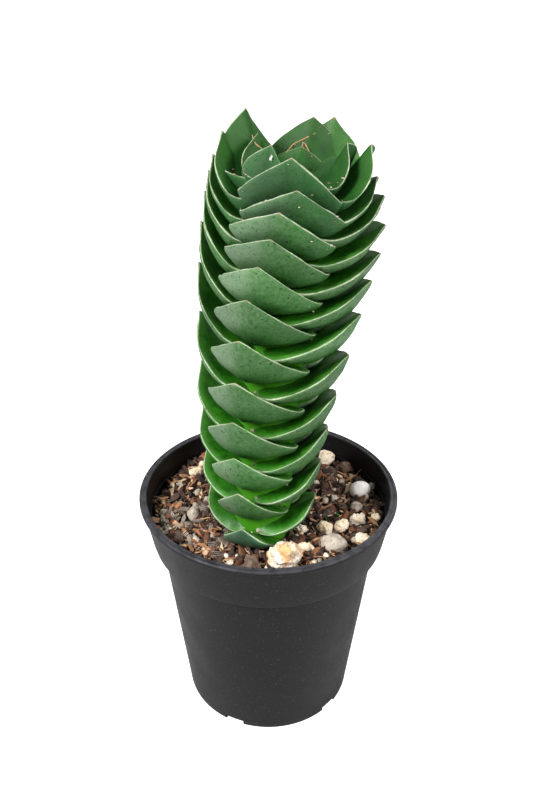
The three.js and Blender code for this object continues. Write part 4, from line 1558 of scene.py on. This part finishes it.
STONY = grain_kind("stony", [pebble_mesh("stony", LAY_DRAW, (1, 0.85, 0.8), 0.45, 3) for _ in range(6)])
MOSS = make_grain_material("moss", [(34, 92, 30), (70, 140, 50), (24, 64, 24)], 0.9, 0.8)
lay("cream_grains", BED, CREAM_GRAINS, STONY, CREAM_STONE, "pale_stone")
lay("grey_grains", BED, GREY_GRAINS, STONY, GREY_STONE, "grey_stone")
lay("dark_grains", BED, DARK_GRAINS, CRUMBS, CRUMB, smooth=False)
lay("tan_grains", BED, TAN_GRAINS, CHIPS, TAN_WOOD, smooth=False)
lay("moss_tufts", BED, MOSS_TUFTS, STONY, MOSS)


# %% Roots on the soil
ROOT_STEPS = 16


def lay_roots(name, mesh, lines, radius, raised):
    """Thin roots that run over the listed places, a little above what carries them."""
    shape = bmesh.new()
    for line in lines:
        ends = [point + UP * raised * MM for point in seen_points(mesh, line) if point is not None]
        path = [centripetal(ends, i / ROOT_STEPS) for i in range(ROOT_STEPS + 1)]
        rings = []
        for i, centre in enumerate(path):
            forward = (path[min(i + 1, ROOT_STEPS)] - path[max(i - 1, 0)]).normalized()
            side = forward.cross(UP).normalized()
            from_middle = abs(2 * i / ROOT_STEPS - 1)
            thick = radius * MM * (1 - 0.5 * from_middle ** 3)
            rings.append(ring_round(shape, centre, side, side.cross(forward), thick, 6))
        join_rings(shape, rings)
    piece = link_object(name, mesh_from(name, shape))
    piece.data.materials.append(ROOT)
    shade_smooth(piece.data, SOFT_CREASE)
    finish_piece(piece, "soil")


lay_roots("long_roots", BED, ROOT_LINES, 0.22, 0.7)

# %% Crumbs on the plant
CROWN_CRUMBS = [(272, 159, 0.9), (245, 170, 0.5), (233, 170, 0.45), (234, 175, 0.5), (246, 176, 0.5),
                (243, 192, 0.4), (312, 196, 0.7), (329, 184, 0.6), (331, 188, 0.5), (343, 179, 0.6),
                (338, 183, 0.4), (288, 165, 0.4), (266, 201, 0.4), (299, 208, 0.4), (337, 217, 0.5),
                (334, 222, 0.5), (311, 242, 0.5), (331, 246, 0.5), (327, 250, 0.4), (240, 220, 0.4),
                (312, 124, 0.4), (320, 128, 0.5), (329, 134, 0.4), (303, 143, 0.4), (295, 145, 0.5)]
AXIL_CRUMBS = [(313, 312, 0.5), (311, 340, 0.5), (256, 393, 0.8), (253, 431, 0.8), (254, 465, 0.6),
               (256, 499, 0.7), (258, 531, 0.7), (262, 532, 0.5), (252, 533, 0.5), (287, 485, 0.6),
               (281, 507, 0.6), (283, 503, 0.5), (316, 301, 0.4), (309, 307, 0.4)]
CROWN_ROOTS = [[(286, 154), (294, 145), (304, 140), (316, 134)],
               [(300, 152), (304, 144), (306, 147), (312, 158)], [(252, 136), (255, 144), (262, 150)]]
DEBRIS = make_grain_material(
    "debris", [(150, 112, 98), (208, 176, 162), (120, 86, 74), (232, 220, 210)], 0.85, 0.6)
leaf_mesh = leafy_stem.data
lay("white_flake", leaf_mesh, [(272, 159, 1.1)], FLAKES, WHITE_STONE, "pale_stone", False)
lay("crown_crumbs", leaf_mesh, CROWN_CRUMBS, CHIPS, DEBRIS, smooth=False)
lay("axil_crumbs", leaf_mesh, AXIL_CRUMBS, CRUMBS, FLAKE, smooth=False)
lay_roots("crown_roots", leaf_mesh, CROWN_ROOTS, 0.14, 0.3)

# %% [markdown]
# ## Light, floor and last checks
# The photograph has plain white all round and light from everywhere, with a little more from the
# upper left. A pale floor, a bright world and three large soft lamps give that. The floor is only
# a stage and isn't part of the object.

# %% Floor
FLOOR_HALF = 12.0
FLOOR_BOUNCE = 0.05
FLOOR_WHITE = 0.9
floor_mesh = bpy.data.meshes.new("floor")
corners = [(-FLOOR_HALF, -FLOOR_HALF, 0), (FLOOR_HALF, -FLOOR_HALF, 0), (FLOOR_HALF, FLOOR_HALF, 0),
           (-FLOOR_HALF, FLOOR_HALF, 0)]
floor_mesh.from_pydata(corners, [], [(0, 1, 2, 3)])
floor = link_object("floor", floor_mesh)
floor_material, floor_tree, floor_shader, _ = new_material("white_floor", 0.9)
floor_shader.inputs["Base Color"].default_value = (0.6, 0.6, 0.6, 1)
floor_shader.inputs["Emission Color"].default_value = (1, 1, 1, 1)
seen = floor_tree.nodes.new("ShaderNodeLightPath").outputs["Is Camera Ray"]
glow = plus(floor_tree, FLOOR_BOUNCE, times(floor_tree, seen, FLOOR_WHITE))
floor_tree.links.new(glow, floor_shader.inputs["Emission Strength"])
floor_mesh.materials.append(floor_material)
print("floor is", 2 * FLOOR_HALF, "m wide")

# %% World and lamps
AIM = Vector((0, 0, 0.1))


def soft_lamp(name, place, size, power):
    """A square lamp that looks at the middle of the plant."""
    data = bpy.data.lights.new(name, "AREA")
    data.size, data.energy = size, power
    lamp = bpy.data.objects.new(name, data)
    lamp.location = place
    lamp.rotation_euler = (AIM - Vector(place)).to_track_quat("-Z", "Y").to_euler()
    bpy.context.scene.collection.objects.link(lamp)


WORLD_LIGHT = 0.24
world = bpy.data.worlds.new("white_room")
world.use_nodes = True
air = world.node_tree.nodes["Background"].inputs
air["Color"].default_value = (1, 1, 1, 1)
seen = world.node_tree.nodes.new("ShaderNodeLightPath").outputs["Is Camera Ray"]
to_camera = times(world.node_tree, seen, 1 - WORLD_LIGHT)
world.node_tree.links.new(plus(world.node_tree, WORLD_LIGHT, to_camera), air["Strength"])
bpy.context.scene.world = world
bpy.context.scene.view_settings.view_transform = "Standard"
soft_lamp("key", (-0.65, -0.45, 0.75), 0.35, 15)
soft_lamp("fill", (0.7, -0.55, 0.65), 0.4, 9)
soft_lamp("back", (0.3, 0.75, 0.8), 0.6, 4)
print("lamps set")
